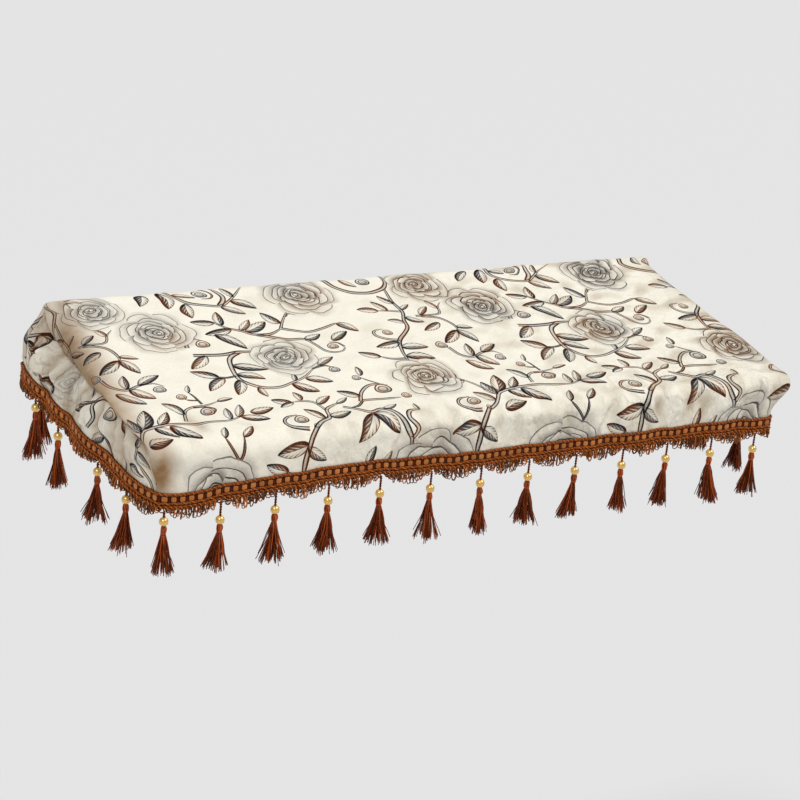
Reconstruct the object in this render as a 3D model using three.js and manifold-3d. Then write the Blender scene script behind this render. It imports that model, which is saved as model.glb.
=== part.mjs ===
// Dust cover of printed cloth: a main panel with sewn-in end panels, a braid with looped
// fringe along the hem, and beaded tassels. Millimetres, X along the length, Y to the back,
// Z up, with the origin under the middle of the top.
import * as THREE from 'three';
import { mergeVertices } from 'three/addons/utils/BufferGeometryUtils.js';
import Module from 'manifold-3d';

const wasm = await Module();
wasm.setup();

// Driving sizes
const LENGTH = 966; // over the rolled ends of the top, midway between front and back
const DEPTH = 370; // front wall to back wall
const TOP_DROP = 70; // the front edge of the top lies this much lower than the back edge
const CLOTH = 1.5; // thickness of the cloth
const FRONT_ROUND = 24; // radius of the front edge of the top
const BACK_ROUND = 15; // radius of the back edge of the top
const HEM = -107; // lower edge of the cloth, behind the braid
const BAND_TOP = -83; // below this height the walls run straight down behind the braid
const FOLDS_FROM = -32; // the upright folds of the walls start at this height
const FOLDS_FULL = -62; // and are full from this height down
const HEM_FELT_FROM = -40; // the hem pulls on the cloth from this height down
const BRAID_HOLD = 0.5; // share of a fold that is left behind the braid
const SEWN_GAP = 0.3; // between pieces that are sewn together
const SEAM_GAP = 0.5; // between the outer faces of the cloth at a seam
const BRAID_TOP = -86;
const BRAID_HEIGHT = 23;
const BRAID_MIDDLE = 1.3; // cords and fringe hang this far out from the braid's back
const ROLL_STEPS = 5;
const SIDES = 4; // of a strand or a lock of fringe

// Rolled ends of the main panel, from the front wall over the top to the back wall:
// how far the cloth turns in to its seam, and how wide the roll is.
const END_ROLL = [
  { y: -185, drop: 7, round: 12 },
  { y: -160, drop: 5, round: 14 },
  { y: -70, drop: 5, round: 20 },
  { y: 20, drop: 23, round: 24 },
  { y: 110, drop: 37, round: 28 },
  { y: 150, drop: 37, round: 28 },
  { y: 176, drop: 10, round: 13 },
  { y: 185, drop: 12, round: 13 },
];
const ROLL_TURN = THREE.MathUtils.degToRad(130); // how far the cloth curls round at the seam
const HEM_TURN = THREE.MathUtils.degToRad(92); // and how far at the hem

// Upright folds of the front and back walls: where, how wide, how far out.
const FRONT_FOLDS = [
  { x: -330, width: 60, out: 2.5 },
  { x: -205, width: 40, out: -2 },
  { x: -139, width: 26, out: -3.5 },
  { x: -75, width: 24, out: -3 },
  { x: -25, width: 30, out: 2 },
  { x: 29, width: 22, out: -3.5 },
  { x: 76, width: 20, out: -2.5 },
  { x: 131, width: 22, out: -3 },
  { x: 179, width: 20, out: -3.5 },
  { x: 235, width: 30, out: 2 },
  { x: 285, width: 24, out: -3.5 },
  { x: 339, width: 20, out: -2.5 },
  { x: 424, width: 24, out: -4 },
];
const BACK_FOLDS = [
  { x: -350, width: 34, out: -4 },
  { x: -150, width: 60, out: 3 },
  { x: 20, width: 30, out: -3.5 },
  { x: 210, width: 50, out: 2.5 },
  { x: 360, width: 32, out: -4 },
];

// More stations of the cloth's grid, left of the first fold.
const END_STATIONS = [-420];

// Low swells and dips of the top: where, how far they reach, how high. They fade out towards
// its front and back edges.
const TOP_SWELLS = [
  { x: -400, y: -140, along: 30, across: 24, rise: -3 },
  { x: -260, y: 30, along: 150, across: 90, rise: -2.5 },
  { x: 170, y: -50, along: 110, across: 70, rise: -3 },
  { x: 330, y: 60, along: 110, across: 90, rise: -2 },
];
const SWELL_MARGIN = 20;
const SWELL_FADE = 40;

// Places where the hem hangs lower or rides up.
const HEM_SHIFTS = [
  { x: -440, y: -185, reach: 62, rise: -8 },
  { x: -190, y: -185, reach: 100, rise: 4 },
  { x: 470, y: -185, reach: 60, rise: -2 },
  { x: -510, y: 185, reach: 100, rise: 38 },
];

// How much longer each end is at the front than midway, and shorter at the back.
const LEFT_SPLAY = -4;
const RIGHT_SPLAY = 7;

// How far the front and back corners of each end stand out below the top: from which height
// down it starts, and at which height it is full.
const LEFT_LEAN = {
  front: { out: -14, from: -40, full: BAND_TOP },
  back: { out: 25, from: 26, full: -22 },
};
const RIGHT_LEAN = {
  front: { out: -24, from: -45, full: BAND_TOP },
  back: { out: -10, from: -20, full: BAND_TOP },
};
const LEAN_REACH = 110; // how far along the front and back walls it is felt
const CORNER_PINCH = 6; // how far the front edge of the top is pinched out at the two ends
const PINCH_REACH = 15;

// How far the hem of each end arches up between its corners, or sags.
const LEFT_ARCH = -4;
const RIGHT_ARCH = 0;

// Swells and creases of the end panels: place from front to back, height, reach, how far out.
const LEFT_SWELLS = [
  { s: 0.5, z: -75, across: 0.7, up: 60, out: 8 },
  { s: 0.88, z: -14, across: 0.1, up: 30, out: 16 },
  { s: 0.79, z: -55, across: 0.04, up: 45, out: -7 },
  { s: 0.61, z: -60, across: 0.05, up: 40, out: -6 },
  { s: 0.46, z: -55, across: 0.05, up: 40, out: 4 },
  { s: 0.3, z: -60, across: 0.05, up: 40, out: -5 },
  { s: 0.13, z: -55, across: 0.05, up: 40, out: 4 },
];
const RIGHT_SWELLS = [
  { s: 0.06, z: -48, across: 0.1, up: 20, out: 10 },
  { s: 0.5, z: -75, across: 0.7, up: 60, out: 8 },
  { s: 0.9, z: -10, across: 0.09, up: 34, out: 16 },
  { s: 0.68, z: -55, across: 0.05, up: 45, out: -6 },
  { s: 0.35, z: -60, across: 0.06, up: 45, out: -6 },
];
// Over this share of the panel's width or height the swells fade in from its sewn edges.
const SWELL_EDGE = { front: 0.08, back: 0.06, top: 0.3 };

// Cross-section of the braid, out from the cloth and up from its top edge: two plaited
// edges stand proud of a flatter ladder row.
const BRAID_SECTION = [
  { out: 0, up: 0 },
  { out: 0, up: -BRAID_HEIGHT },
  { out: 2.4, up: -BRAID_HEIGHT },
  { out: 3, up: -19.5 },
  { out: 2, up: -16 },
  { out: 2, up: -7 },
  { out: 3, up: -3.5 },
  { out: 1.8, up: 0 },
];

// Locks of looped fringe in one scallop between two tassels.
const LOCK_LENGTHS = [10, 14, 10];
const LOCK_THICK = 1.6;
const LOCK_TAPER = 0.8;
const LOCK_GAP = 2.5;
const LOCK_ROOT = 1.6; // depth of its root in the braid
const CORD_ROOM = 8; // left free of fringe at each tassel

// Rows of tassels: the side, how many, where the first and last hang along it, and the
// length of the cord.
const TASSEL_ROWS = [
  { side: 'front', count: 1, first: -456, last: -456, cord: 8 },
  { side: 'front', count: 12, first: -381.4, last: 439, cord: 18 },
  { side: 'right', count: 4, first: -110, last: 160, cord: 18 },
  { side: 'back', count: 13, first: 439, last: -480, cord: 18 },
  { side: 'left', count: 1, first: 122, last: 122, cord: 7 },
  { side: 'left', count: 1, first: 57, last: 57, cord: 13 },
  { side: 'left', count: 2, first: -50, last: -125, cord: 7 },
];

// Turned core of a tassel below its cord, with the bead and the tied head: radius, and
// height above the middle of the bead.
const BEAD_RADIUS = 6;
const CORD_RADIUS = 1.3;
const TASSEL_CORE = [
  { radius: CORD_RADIUS, up: 5.8 },
  { radius: 4.8, up: 3.6 },
  { radius: BEAD_RADIUS, up: 0 },
  { radius: 4.8, up: -3.6 },
  { radius: 2.6, up: -5.6 },
  { radius: 4.2, up: -10 },
  { radius: 3.8, up: -17 },
];

// Strands of a tassel's skirt: how many, radius at the root and at the end, depth of the root
// in the head, and distance of the root from the middle.
const STRANDS = { count: 5, rootRadius: 0.9, endRadius: 4.4, depth: 3, apart: 1.7 };

// Tassels differ a little: the length of the skirt below the head, and how wide it splays.
const TASSEL_KINDS = [
  { skirt: 52, splay: 0.13 },
  { skirt: 50, splay: 0.18 },
  { skirt: 53, splay: 0.155 },
];
const TASSEL_TWIST = 0.7; // each tassel hangs turned by this much more than the one before

const CLOTH_LOOK = { color: 0xe9e0cc, roughness: 0.7, metalness: 0 };
const BRAID_LOOK = { color: 0x8a4319, roughness: 0.8, metalness: 0 };
const TASSEL_LOOK = { color: 0x5e2410, roughness: 0.75, metalness: 0 };

const slope = Math.atan2(TOP_DROP, DEPTH);
const bump = (distance, reach) => Math.exp(-((distance / reach) ** 2));
const smooth = (value) => THREE.MathUtils.smoothstep(value, 0, 1);

// A column of the table of rolled ends, eased from row to row.
function rolled(y, column) {
  const next = Math.max(1, END_ROLL.findIndex((row) => row.y >= y));
  const [before, after] = y >= DEPTH / 2 ? END_ROLL.slice(-2) : END_ROLL.slice(next - 1, next + 1);
  const share = smooth((y - before.y) / (after.y - before.y));
  return THREE.MathUtils.lerp(before[column], after[column], share);
}

// The section of the main panel, from the front hem over the top to the back hem.
function sectionPath() {
  const topAt = (y) => CLOTH + y * Math.tan(slope);
  const arcCentre = (y, radius) => topAt(y - radius * Math.sin(slope)) - radius * Math.cos(slope);
  const frontY = FRONT_ROUND - DEPTH / 2;
  const backY = DEPTH / 2 - BACK_ROUND;
  const frontZ = arcCentre(frontY, FRONT_ROUND);
  const backZ = arcCentre(backY, BACK_ROUND);
  const path = new THREE.Path();
  path.moveTo(-DEPTH / 2, HEM);
  path.lineTo(-DEPTH / 2, BAND_TOP);
  path.lineTo(-DEPTH / 2, frontZ);
  path.absarc(frontY, frontZ, FRONT_ROUND, Math.PI, Math.PI / 2 + slope, true);
  path.absarc(backY, backZ, BACK_ROUND, Math.PI / 2 + slope, 0, true);
  path.lineTo(DEPTH / 2, BAND_TOP);
  path.lineTo(DEPTH / 2, HEM);
  return path;
}

const section = sectionPath();

// How finely each stretch of the section is divided: band, wall, edge, top, edge, wall, band.
const SECTION_STEPS = [1, 4, 4, 14, 4, 4, 1];

// Places along the section where the cloth's grid has a row, each stretch divided evenly.
function sectionPlaces() {
  const ends = section.getCurveLengths();
  const total = ends[ends.length - 1];
  const places = ends.flatMap((end, stretch) => {
    const start = stretch > 0 ? ends[stretch - 1] : 0;
    const steps = SECTION_STEPS[stretch];
    return Array.from({ length: steps }, (_, step) => (start + ((end - start) * (step + 1)) / steps) / total);
  });
  return [0, ...places];
}

// The end panels are sewn in between the middles of the front and back edges of the top.
const sectionStops = sectionPlaces();
const [bandSteps, wallSteps, edgeSteps, topSteps] = SECTION_STEPS;
const frontCorner = bandSteps + wallSteps + edgeSteps / 2;
const backCorner = frontCorner + edgeSteps + topSteps;

// How strongly the hem's shifts are felt at a height: not at the top, fully behind the braid.
const hemShare = (z) => smooth((HEM_FELT_FROM - z) / (HEM_FELT_FROM - BAND_TOP));

function hemShift(x, y) {
  const shiftOf = (row) => row.rise * bump(Math.hypot(x - row.x, y - row.y), row.reach);
  return HEM_SHIFTS.reduce((sum, row) => sum + shiftOf(row), 0);
}

// Half the length of the cover at a place from front to back.
function halfLength(side, y) {
  return LENGTH / 2 - (side < 0 ? LEFT_SPLAY : RIGHT_SPLAY) * (y / (DEPTH / 2));
}

// How far out the end leans at a place, from its front and back corners.
function endLean(side, y, z) {
  const lean = side < 0 ? LEFT_LEAN : RIGHT_LEAN;
  const outAt = ({ out, from, full }) => out * smooth((from - z) / (from - full));
  return side * THREE.MathUtils.lerp(outAt(lean.front), outAt(lean.back), y / DEPTH + 0.5);
}

// Folds of the walls, low swells of the top and the pinch of the front edge near the ends,
// outwards from the plain section.
function mainFolds(x, y, z, nearEnd) {
  const started = smooth((FOLDS_FROM - z) / (FOLDS_FROM - FOLDS_FULL));
  const wall = started * THREE.MathUtils.lerp(1, BRAID_HOLD, hemShare(z));
  const folds = y < 0 ? FRONT_FOLDS : BACK_FOLDS;
  const upright = folds.reduce((sum, row) => sum + row.out * bump(x - row.x, row.width), 0);
  const onTop = smooth((DEPTH / 2 - SWELL_MARGIN - Math.abs(y)) / SWELL_FADE);
  const riseOf = (row) => row.rise * bump(x - row.x, row.along) * bump(y - row.y, row.across);
  const swell = TOP_SWELLS.reduce((sum, row) => sum + riseOf(row), 0);
  const frontEdge = section.getPoint(sectionStops[frontCorner]);
  const pinch = CORNER_PINCH * bump(Math.hypot(y - frontEdge.x, z - frontEdge.y), PINCH_REACH);
  return upright * wall + swell * onTop + pinch * nearEnd;
}

// A point on the outer face of the main panel. Reach runs from -1 to 1 between the rolled
// ends, and turn from 0 to 1 round the roll.
function mainPoint(reach, turn, place) {
  const at = section.getPoint(place);
  const along = section.getTangent(place);
  const side = Math.sign(reach);
  const round = rolled(at.x, 'round');
  const half = halfLength(side, at.x);
  const turnAtSeam = THREE.MathUtils.lerp(ROLL_TURN, HEM_TURN, hemShare(at.y));
  const angle = turn * turnAtSeam;
  const plainX = reach * (half - round) + side * round * Math.sin(angle);
  const drop = (rolled(at.x, 'drop') * (1 - Math.cos(angle))) / (1 - Math.cos(turnAtSeam));
  const nearEnd = smooth((Math.abs(plainX) - half + LEAN_REACH) / LEAN_REACH);
  const outwards = mainFolds(plainX, at.x, at.y, nearEnd) - drop;
  const x = plainX + nearEnd * endLean(side, at.x, at.y);
  const y = at.x - along.y * outwards;
  const z = at.y + along.x * outwards + hemShare(at.y) * hemShift(plainX, at.x);
  return new THREE.Vector3(x, y, z);
}

// Stations along the main panel: round the left roll, along the length at each fold of the
// front and midway between the folds, and round the right roll.
function mainStations() {
  const turns = Array.from({ length: ROLL_STEPS }, (_, step) => (step + 1) / ROLL_STEPS);
  const plainHalf = LENGTH / 2 - END_ROLL[0].round;
  const stops = [-plainHalf, ...END_STATIONS, ...FRONT_FOLDS.map((row) => row.x), plainHalf];
  const reaches = stops.flatMap((x, index) => (index > 0 ? [(stops[index - 1] + x) / 2, x] : [x]));
  return [
    ...turns.toReversed().map((turn) => ({ reach: -1, turn })),
    ...reaches.map((x) => ({ reach: x / plainHalf, turn: 0 })),
    ...turns.map((turn) => ({ reach: 1, turn })),
  ];
}

// The seam edge of the main panel at one end and one row of its grid, a seam's gap further in.
function seamPoint(side, stop) {
  const nearSeam = 0.98;
  const edge = mainPoint(side, 1, sectionStops[stop]);
  const before = mainPoint(side, nearSeam, sectionStops[stop]);
  return edge.clone().addScaledVector(edge.clone().sub(before).normalize(), SEAM_GAP);
}

// The grid of points on the outer face of an end panel, front to back and seam to hem. Its
// edges meet the rows of the main panel's grid.
function endGrid(side, swells, arch) {
  const rows = Array.from({ length: frontCorner + 1 }, (_, row) => ({
    front: seamPoint(side, frontCorner - row),
    back: seamPoint(side, backCorner + row),
  }));
  const corners = rows[0];
  const band = rows[frontCorner - bandSteps];
  const grid = [];
  for (let stop = frontCorner; stop <= backCorner; stop += 1) {
    const top = seamPoint(side, stop);
    const s = (top.y - corners.front.y) / (corners.back.y - corners.front.y);
    const between = (row) => row.front.clone().lerp(row.back, s);
    const rise = top.clone().sub(between(corners));
    const height = between(corners).z - between(band).z;
    const edge = smooth(s / SWELL_EDGE.front) * smooth((1 - s) / SWELL_EDGE.back);
    grid.push(rows.map((row) => {
      const point = between(row);
      const down = Math.min(1, (between(corners).z - point.z) / height);
      const level = THREE.MathUtils.lerp(top.z, BAND_TOP, down);
      const outOf = (swell) => swell.out * bump(s - swell.s, swell.across) * bump(level - swell.z, swell.up);
      const out = swells.reduce((sum, swell) => sum + outOf(swell), 0);
      point.addScaledVector(rise, 1 - down);
      point.z += arch * 4 * s * (1 - s) * smooth(down);
      point.x += side * out * edge * smooth(down / SWELL_EDGE.top);
      return point;
    }));
  }
  return side < 0 ? grid : grid.reverse();
}

// A closed solid of cloth: a grid of points on its outer face, and the same grid one
// thickness further in.
function clothGeometry(grid) {
  const columns = grid.length;
  const rows = grid[0].length;
  const normals = grid.map((points, column) => points.map((point, row) => {
    const next = grid[Math.min(column + 1, columns - 1)][row];
    const across = next.clone().sub(grid[Math.max(column - 1, 0)][row]);
    const down = points[Math.min(row + 1, rows - 1)].clone().sub(points[Math.max(row - 1, 0)]);
    return across.cross(down).normalize();
  }));
  const outer = grid.flat();
  const inner = outer.map((point, index) => point.clone().addScaledVector(normals.flat()[index], -CLOTH));
  const faces = [];
  const edges = [];
  const at = (column, row) => column * rows + row;
  for (let column = 0; column < columns - 1; column += 1) {
    for (let row = 0; row < rows - 1; row += 1) {
      faces.push([at(column, row), at(column + 1, row), at(column + 1, row + 1)]);
      faces.push([at(column, row), at(column + 1, row + 1), at(column, row + 1)]);
    }
    edges.push([at(column, 0), at(column + 1, 0)], [at(column + 1, rows - 1), at(column, rows - 1)]);
  }
  for (let row = 0; row < rows - 1; row += 1) {
    edges.push([at(columns - 1, row), at(columns - 1, row + 1)], [at(0, row + 1), at(0, row)]);
  }
  const count = outer.length;
  const lining = faces.map(([a, b, c]) => [a + count, c + count, b + count]);
  const rim = edges.flatMap(([a, b]) => [[b, a, a + count], [b, a + count, b + count]]);
  return indexedGeometry([...outer, ...inner], [...faces, ...lining, ...rim]);
}

function indexedGeometry(points, faces) {
  const geometry = new THREE.BufferGeometry().setFromPoints(points);
  geometry.setIndex(faces.flat());
  geometry.computeVertexNormals();
  return geometry;
}

// The line of the hem on the cloth's outer face, from the middle of the back round the left
// end, the front and the right end to the middle of the back again, with its two ends butted.
function hemLine(mainGrid, leftGrid, rightGrid) {
  const shortest = 2;
  const tagged = (side, points) => points.map((point) => ({ side, point }));
  const front = tagged('front', mainGrid.map((points) => points[0]));
  const back = tagged('back', mainGrid.map((points) => points[points.length - 1]).reverse());
  const left = tagged('left', leftGrid.map((points) => points[points.length - 1]).reverse());
  const right = tagged('right', rightGrid.map((points) => points[points.length - 1]).reverse());
  const half = Math.floor(back.length / 2);
  const before = back[half - 1].point;
  const after = back[half].point;
  const gapShare = SEWN_GAP / before.distanceTo(after);
  const [end, start] = [-1, 1].map((way) => before.clone().lerp(after, (1 + way * gapShare) / 2));
  const rows = [
    ...tagged('back', [start]), ...back.slice(half), ...left, ...front, ...right,
    ...back.slice(0, half), ...tagged('back', [end]),
  ];
  const apart = (index) => rows[index].point.distanceTo(rows[index - 1].point) > shortest;
  return rows.filter((_, index) => index === 0 || apart(index));
}

// Points of the hem line with the way out from the cloth at each, level and a little longer
// at a corner, so that the braid keeps its distance.
function outwardLine(rows) {
  return rows.map(({ side, point }, index) => {
    const before = point.clone().sub(rows[Math.max(index - 1, 0)].point).setZ(0);
    const after = rows[Math.min(index + 1, rows.length - 1)].point.clone().sub(point).setZ(0);
    const first = before.lengthSq() > 0 ? before.normalize() : after.clone().normalize();
    const second = after.lengthSq() > 0 ? after.normalize() : first.clone();
    const along = first.clone().add(second).normalize();
    const out = new THREE.Vector3(along.y, -along.x, 0).divideScalar(along.dot(first));
    return { side, point, out };
  });
}

// A solid through rings of points, closed at both ends.
function loftGeometry(rings, outline) {
  const size = outline.length;
  const faces = [];
  for (let ring = 0; ring < rings.length - 1; ring += 1) {
    for (let corner = 0; corner < size; corner += 1) {
      const a = ring * size + corner;
      const b = ring * size + ((corner + 1) % size);
      faces.push([a, a + size, b + size], [a, b + size, b]);
    }
  }
  const last = (rings.length - 1) * size;
  const flat = outline.map((row) => new THREE.Vector2(row.out, row.up));
  const cap = THREE.ShapeUtils.triangulateShape(flat, []);
  cap.forEach(([a, b, c]) => faces.push([a, b, c], [last + a, last + c, last + b]));
  return indexedGeometry(rings.flat(), faces);
}

// A geometry as a solid that can be joined, with its shared points merged.
function solidOf(geometry) {
  const bare = geometry.clone();
  bare.deleteAttribute('normal');
  bare.deleteAttribute('uv');
  const merged = mergeVertices(bare);
  const index = Array.from(merged.index.array);
  const kept = [];
  for (let corner = 0; corner < index.length; corner += 3) {
    const [a, b, c] = index.slice(corner, corner + 3);
    if (a !== b && b !== c && c !== a) {
      kept.push(a, b, c);
    }
  }
  return new wasm.Manifold(new wasm.Mesh({
    numProp: 3,
    vertProperties: new Float32Array(merged.attributes.position.array),
    triVerts: new Uint32Array(kept),
  }));
}

function joinedGeometry(geometries) {
  const joined = geometries.map(solidOf).reduce((sum, solid) => sum.add(solid));
  const mesh = joined.getMesh();
  const geometry = new THREE.BufferGeometry();
  geometry.setAttribute('position', new THREE.BufferAttribute(new Float32Array(mesh.vertProperties), 3));
  geometry.setIndex(Array.from(mesh.triVerts));
  geometry.computeVertexNormals();
  return geometry;
}

// The place on the braid's middle line at a distance along it.
function placeAlong(line, distance) {
  let left = distance;
  for (let index = 0; index < line.length - 1; index += 1) {
    const span = line[index].point.distanceTo(line[index + 1].point);
    if (left <= span || index === line.length - 2) {
      const share = left / span;
      const point = line[index].point.clone().lerp(line[index + 1].point, share);
      const out = line[index].out.clone().lerp(line[index + 1].out, share);
      const along = line[index + 1].point.clone().sub(line[index].point);
      return {
        point: point.addScaledVector(out, SEWN_GAP + BRAID_MIDDLE),
        turn: Math.atan2(along.y, along.x),
        slope: along.z / Math.hypot(along.x, along.y),
      };
    }
    left -= span;
  }
  return null;
}

// The distance along the hem line of the place on one side nearest to a value of x or y.
function distanceTo(line, side, value) {
  const axis = side === 'front' || side === 'back' ? 'x' : 'y';
  let walked = 0;
  let best = { gap: Infinity, distance: 0 };
  for (let index = 0; index < line.length - 1; index += 1) {
    const from = line[index];
    const to = line[index + 1];
    const span = from.point.distanceTo(to.point);
    if (from.side === side && to.side === side) {
      const [start, end] = [from.point[axis], to.point[axis]];
      const share = THREE.MathUtils.clamp((value - start) / (end - start), 0, 1);
      const gap = Math.abs(THREE.MathUtils.lerp(start, end, share) - value);
      if (gap < best.gap) {
        best = { gap, distance: walked + span * share };
      }
    }
    walked += span;
  }
  return best.distance;
}

// Every tassel's distance along the hem line and the length of its cord, in order.
function tasselPlaces(line) {
  const places = TASSEL_ROWS.flatMap((row) => Array.from({ length: row.count }, (_, index) => {
    const value = THREE.MathUtils.lerp(row.first, row.last, index / Math.max(row.count - 1, 1));
    return { distance: distanceTo(line, row.side, value), cord: row.cord };
  }));
  return places.sort((a, b) => a.distance - b.distance);
}

// One lock of the looped fringe, hanging from a place on the braid with its root inside it.
function fringeLock(place, width, length) {
  const height = length + LOCK_ROOT;
  const geometry = new THREE.CylinderGeometry(Math.SQRT1_2, Math.SQRT1_2 * LOCK_TAPER, height, SIDES, 1);
  geometry.rotateY(Math.PI / SIDES);
  geometry.rotateX(Math.PI / 2);
  geometry.scale(width, LOCK_THICK, 1);
  geometry.applyMatrix4(new THREE.Matrix4().makeShear(0, place.slope, 0, 0, 0, 0));
  geometry.rotateZ(place.turn);
  const z = place.point.z + BRAID_TOP - HEM - BRAID_HEIGHT + LOCK_ROOT - height / 2;
  geometry.translate(place.point.x, place.point.y, z);
  return geometry;
}

// The braid along the hem, with the fringe hanging in scallops between the tassels.
function braidGeometry(line, tassels) {
  const rings = line.map(({ point, out }) => BRAID_SECTION.map((row) => {
    const corner = point.clone().addScaledVector(out, row.out + SEWN_GAP);
    corner.z += BRAID_TOP - HEM + row.up;
    return corner;
  }));
  const total = line.slice(1).reduce((sum, row, index) => sum + row.point.distanceTo(line[index].point), 0);
  const locks = tassels.flatMap(({ distance }, index) => {
    const next = index + 1 < tassels.length ? tassels[index + 1].distance : tassels[0].distance + total;
    const pitch = (next - distance - CORD_ROOM) / LOCK_LENGTHS.length;
    return LOCK_LENGTHS.map((length, lock) => {
      const middle = distance + CORD_ROOM / 2 + pitch * (lock + 0.5);
      return fringeLock(placeAlong(line, middle % total), pitch - LOCK_GAP, length);
    });
  });
  return joinedGeometry([loftGeometry(rings, BRAID_SECTION), ...locks]);
}

// A tassel below its top end: cord, bead and tied head turned as one, with the strands of
// the skirt rooted in the flat end of the head.
function tasselGeometry({ skirt, splay }, cord) {
  const beadZ = -cord - BEAD_RADIUS;
  const headEnd = beadZ + TASSEL_CORE[TASSEL_CORE.length - 1].up;
  const profile = [
    new THREE.Vector2(0, 0),
    new THREE.Vector2(CORD_RADIUS, 0),
    ...TASSEL_CORE.map(({ radius, up }) => new THREE.Vector2(radius, beadZ + up)),
    new THREE.Vector2(0, headEnd),
  ].reverse();
  const core = new THREE.LatheGeometry(profile, STRANDS.count).rotateX(Math.PI / 2);
  const strands = Array.from({ length: STRANDS.count }, (_, index) => {
    const length = skirt + STRANDS.depth;
    const strand = new THREE.CylinderGeometry(STRANDS.rootRadius, STRANDS.endRadius, length, SIDES, 1);
    strand.translate(0, -length / 2, 0);
    strand.rotateX(Math.PI / 2 + splay);
    strand.translate(0, STRANDS.apart, headEnd + STRANDS.depth);
    strand.rotateZ(((index + 0.5) * 2 * Math.PI) / STRANDS.count);
    return strand;
  });
  return joinedGeometry([core, ...strands]);
}

function piece(name, geometry, look) {
  const mesh = new THREE.Mesh(geometry, new THREE.MeshStandardMaterial(look));
  mesh.name = name;
  return mesh;
}

const mainColumn = ({ reach, turn }) => sectionStops.map((place) => mainPoint(reach, turn, place));
const mainGrid = mainStations().map(mainColumn);
const leftGrid = endGrid(-1, LEFT_SWELLS, LEFT_ARCH);
const rightGrid = endGrid(1, RIGHT_SWELLS, RIGHT_ARCH);
const line = outwardLine(hemLine(mainGrid, leftGrid, rightGrid));
const tassels = tasselPlaces(line);

const cover = new THREE.Group();
cover.add(piece('main_panel', clothGeometry(mainGrid), CLOTH_LOOK));
cover.add(piece('end_panel_left', clothGeometry(leftGrid), CLOTH_LOOK));
cover.add(piece('end_panel_right', clothGeometry(rightGrid), CLOTH_LOOK));
cover.add(piece('braid', braidGeometry(line, tassels), BRAID_LOOK));

tassels.forEach(({ distance, cord }, index) => {
  const place = placeAlong(line, distance);
  const name = `tassel_${String(index + 1).padStart(2, '0')}`;
  const tassel = piece(name, tasselGeometry(TASSEL_KINDS[index % TASSEL_KINDS.length], cord), TASSEL_LOOK);
  tassel.position.copy(place.point);
  tassel.position.z += BRAID_TOP - HEM - BRAID_HEIGHT - SEWN_GAP;
  tassel.rotation.z = place.turn + index * TASSEL_TWIST;
  cover.add(tassel);
});

export default cover;
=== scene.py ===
import math
import random
from collections import namedtuple

import bmesh
import bpy
import numpy as np
from mathutils import Matrix


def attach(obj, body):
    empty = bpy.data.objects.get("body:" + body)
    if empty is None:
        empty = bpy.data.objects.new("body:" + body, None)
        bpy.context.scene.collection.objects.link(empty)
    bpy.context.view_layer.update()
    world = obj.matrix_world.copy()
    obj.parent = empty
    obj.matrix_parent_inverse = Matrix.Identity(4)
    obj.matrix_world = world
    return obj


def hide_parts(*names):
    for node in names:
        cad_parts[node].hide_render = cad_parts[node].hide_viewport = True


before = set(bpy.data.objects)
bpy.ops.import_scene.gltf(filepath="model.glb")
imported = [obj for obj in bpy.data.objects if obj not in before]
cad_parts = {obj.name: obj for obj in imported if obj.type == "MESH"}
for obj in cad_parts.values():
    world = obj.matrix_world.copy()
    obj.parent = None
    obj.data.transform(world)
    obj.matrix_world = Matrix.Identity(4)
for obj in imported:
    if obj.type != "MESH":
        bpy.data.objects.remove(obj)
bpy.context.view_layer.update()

# Sizes in millimetres, X along the length, Y to the back, Z up.
MM = 0.001
LENGTH = 966
DEPTH = 370
TOP_DROP = 70
SLOPE = math.atan2(TOP_DROP, DEPTH)
CLOTH = 1.5
FRONT_ROUND = 24
BACK_ROUND = 15
HEM = -107
BAND_TOP = -83
BRAID_HOLD = 0.5
SEWN_GAP = 0.3
SEAM_GAP = 0.5
NEAR_SEAM = 0.98
BRAID_TOP = -86
ROLL_TURN = math.radians(130)
HEM_TURN = math.radians(92)

# Rolled ends of the main panel, from front to back.
Roll = namedtuple("Roll", "y drop round")
END_ROLL = [
    Roll(-185, 7, 12),
    Roll(-160, 5, 14),
    Roll(-70, 5, 20),
    Roll(20, 23, 24),
    Roll(110, 37, 28),
    Roll(150, 37, 28),
    Roll(176, 10, 13),
    Roll(185, 12, 13),
]

# Upright folds of the walls, and low swells of the top.
Fold = namedtuple("Fold", "x width out")
FRONT_FOLDS = [
    Fold(-330, 60, 2.5),
    Fold(-205, 40, -2),
    Fold(-139, 26, -3.5),
    Fold(-75, 24, -3),
    Fold(-25, 30, 2),
    Fold(29, 22, -3.5),
    Fold(76, 20, -2.5),
    Fold(131, 22, -3),
    Fold(179, 20, -3.5),
    Fold(235, 30, 2),
    Fold(285, 24, -3.5),
    Fold(339, 20, -2.5),
    Fold(424, 24, -4),
]
BACK_FOLDS = [
    Fold(-350, 34, -4),
    Fold(-150, 60, 3),
    Fold(20, 30, -3.5),
    Fold(210, 50, 2.5),
    Fold(360, 32, -4),
]
Swell = namedtuple("Swell", "x y along across rise")
TOP_SWELLS = [
    Swell(-400, -140, 30, 24, -3),
    Swell(-260, 30, 150, 90, -2.5),
    Swell(170, -50, 110, 70, -3),
    Swell(330, 60, 110, 90, -2),
]
SWELL_MARGIN = 20
SWELL_FADE = 40

# Places where the hem hangs lower or higher, and pinch and lean near the corners.
Shift = namedtuple("Shift", "x y reach rise")
HEM_SHIFTS = [
    Shift(-440, -185, 62, -8),
    Shift(-190, -185, 100, 4),
    Shift(470, -185, 60, -2),
    Shift(-510, 185, 100, 38),
]
CORNER_PINCH = 6
PINCH_REACH = 15
LEAN_REACH = 110

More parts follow.
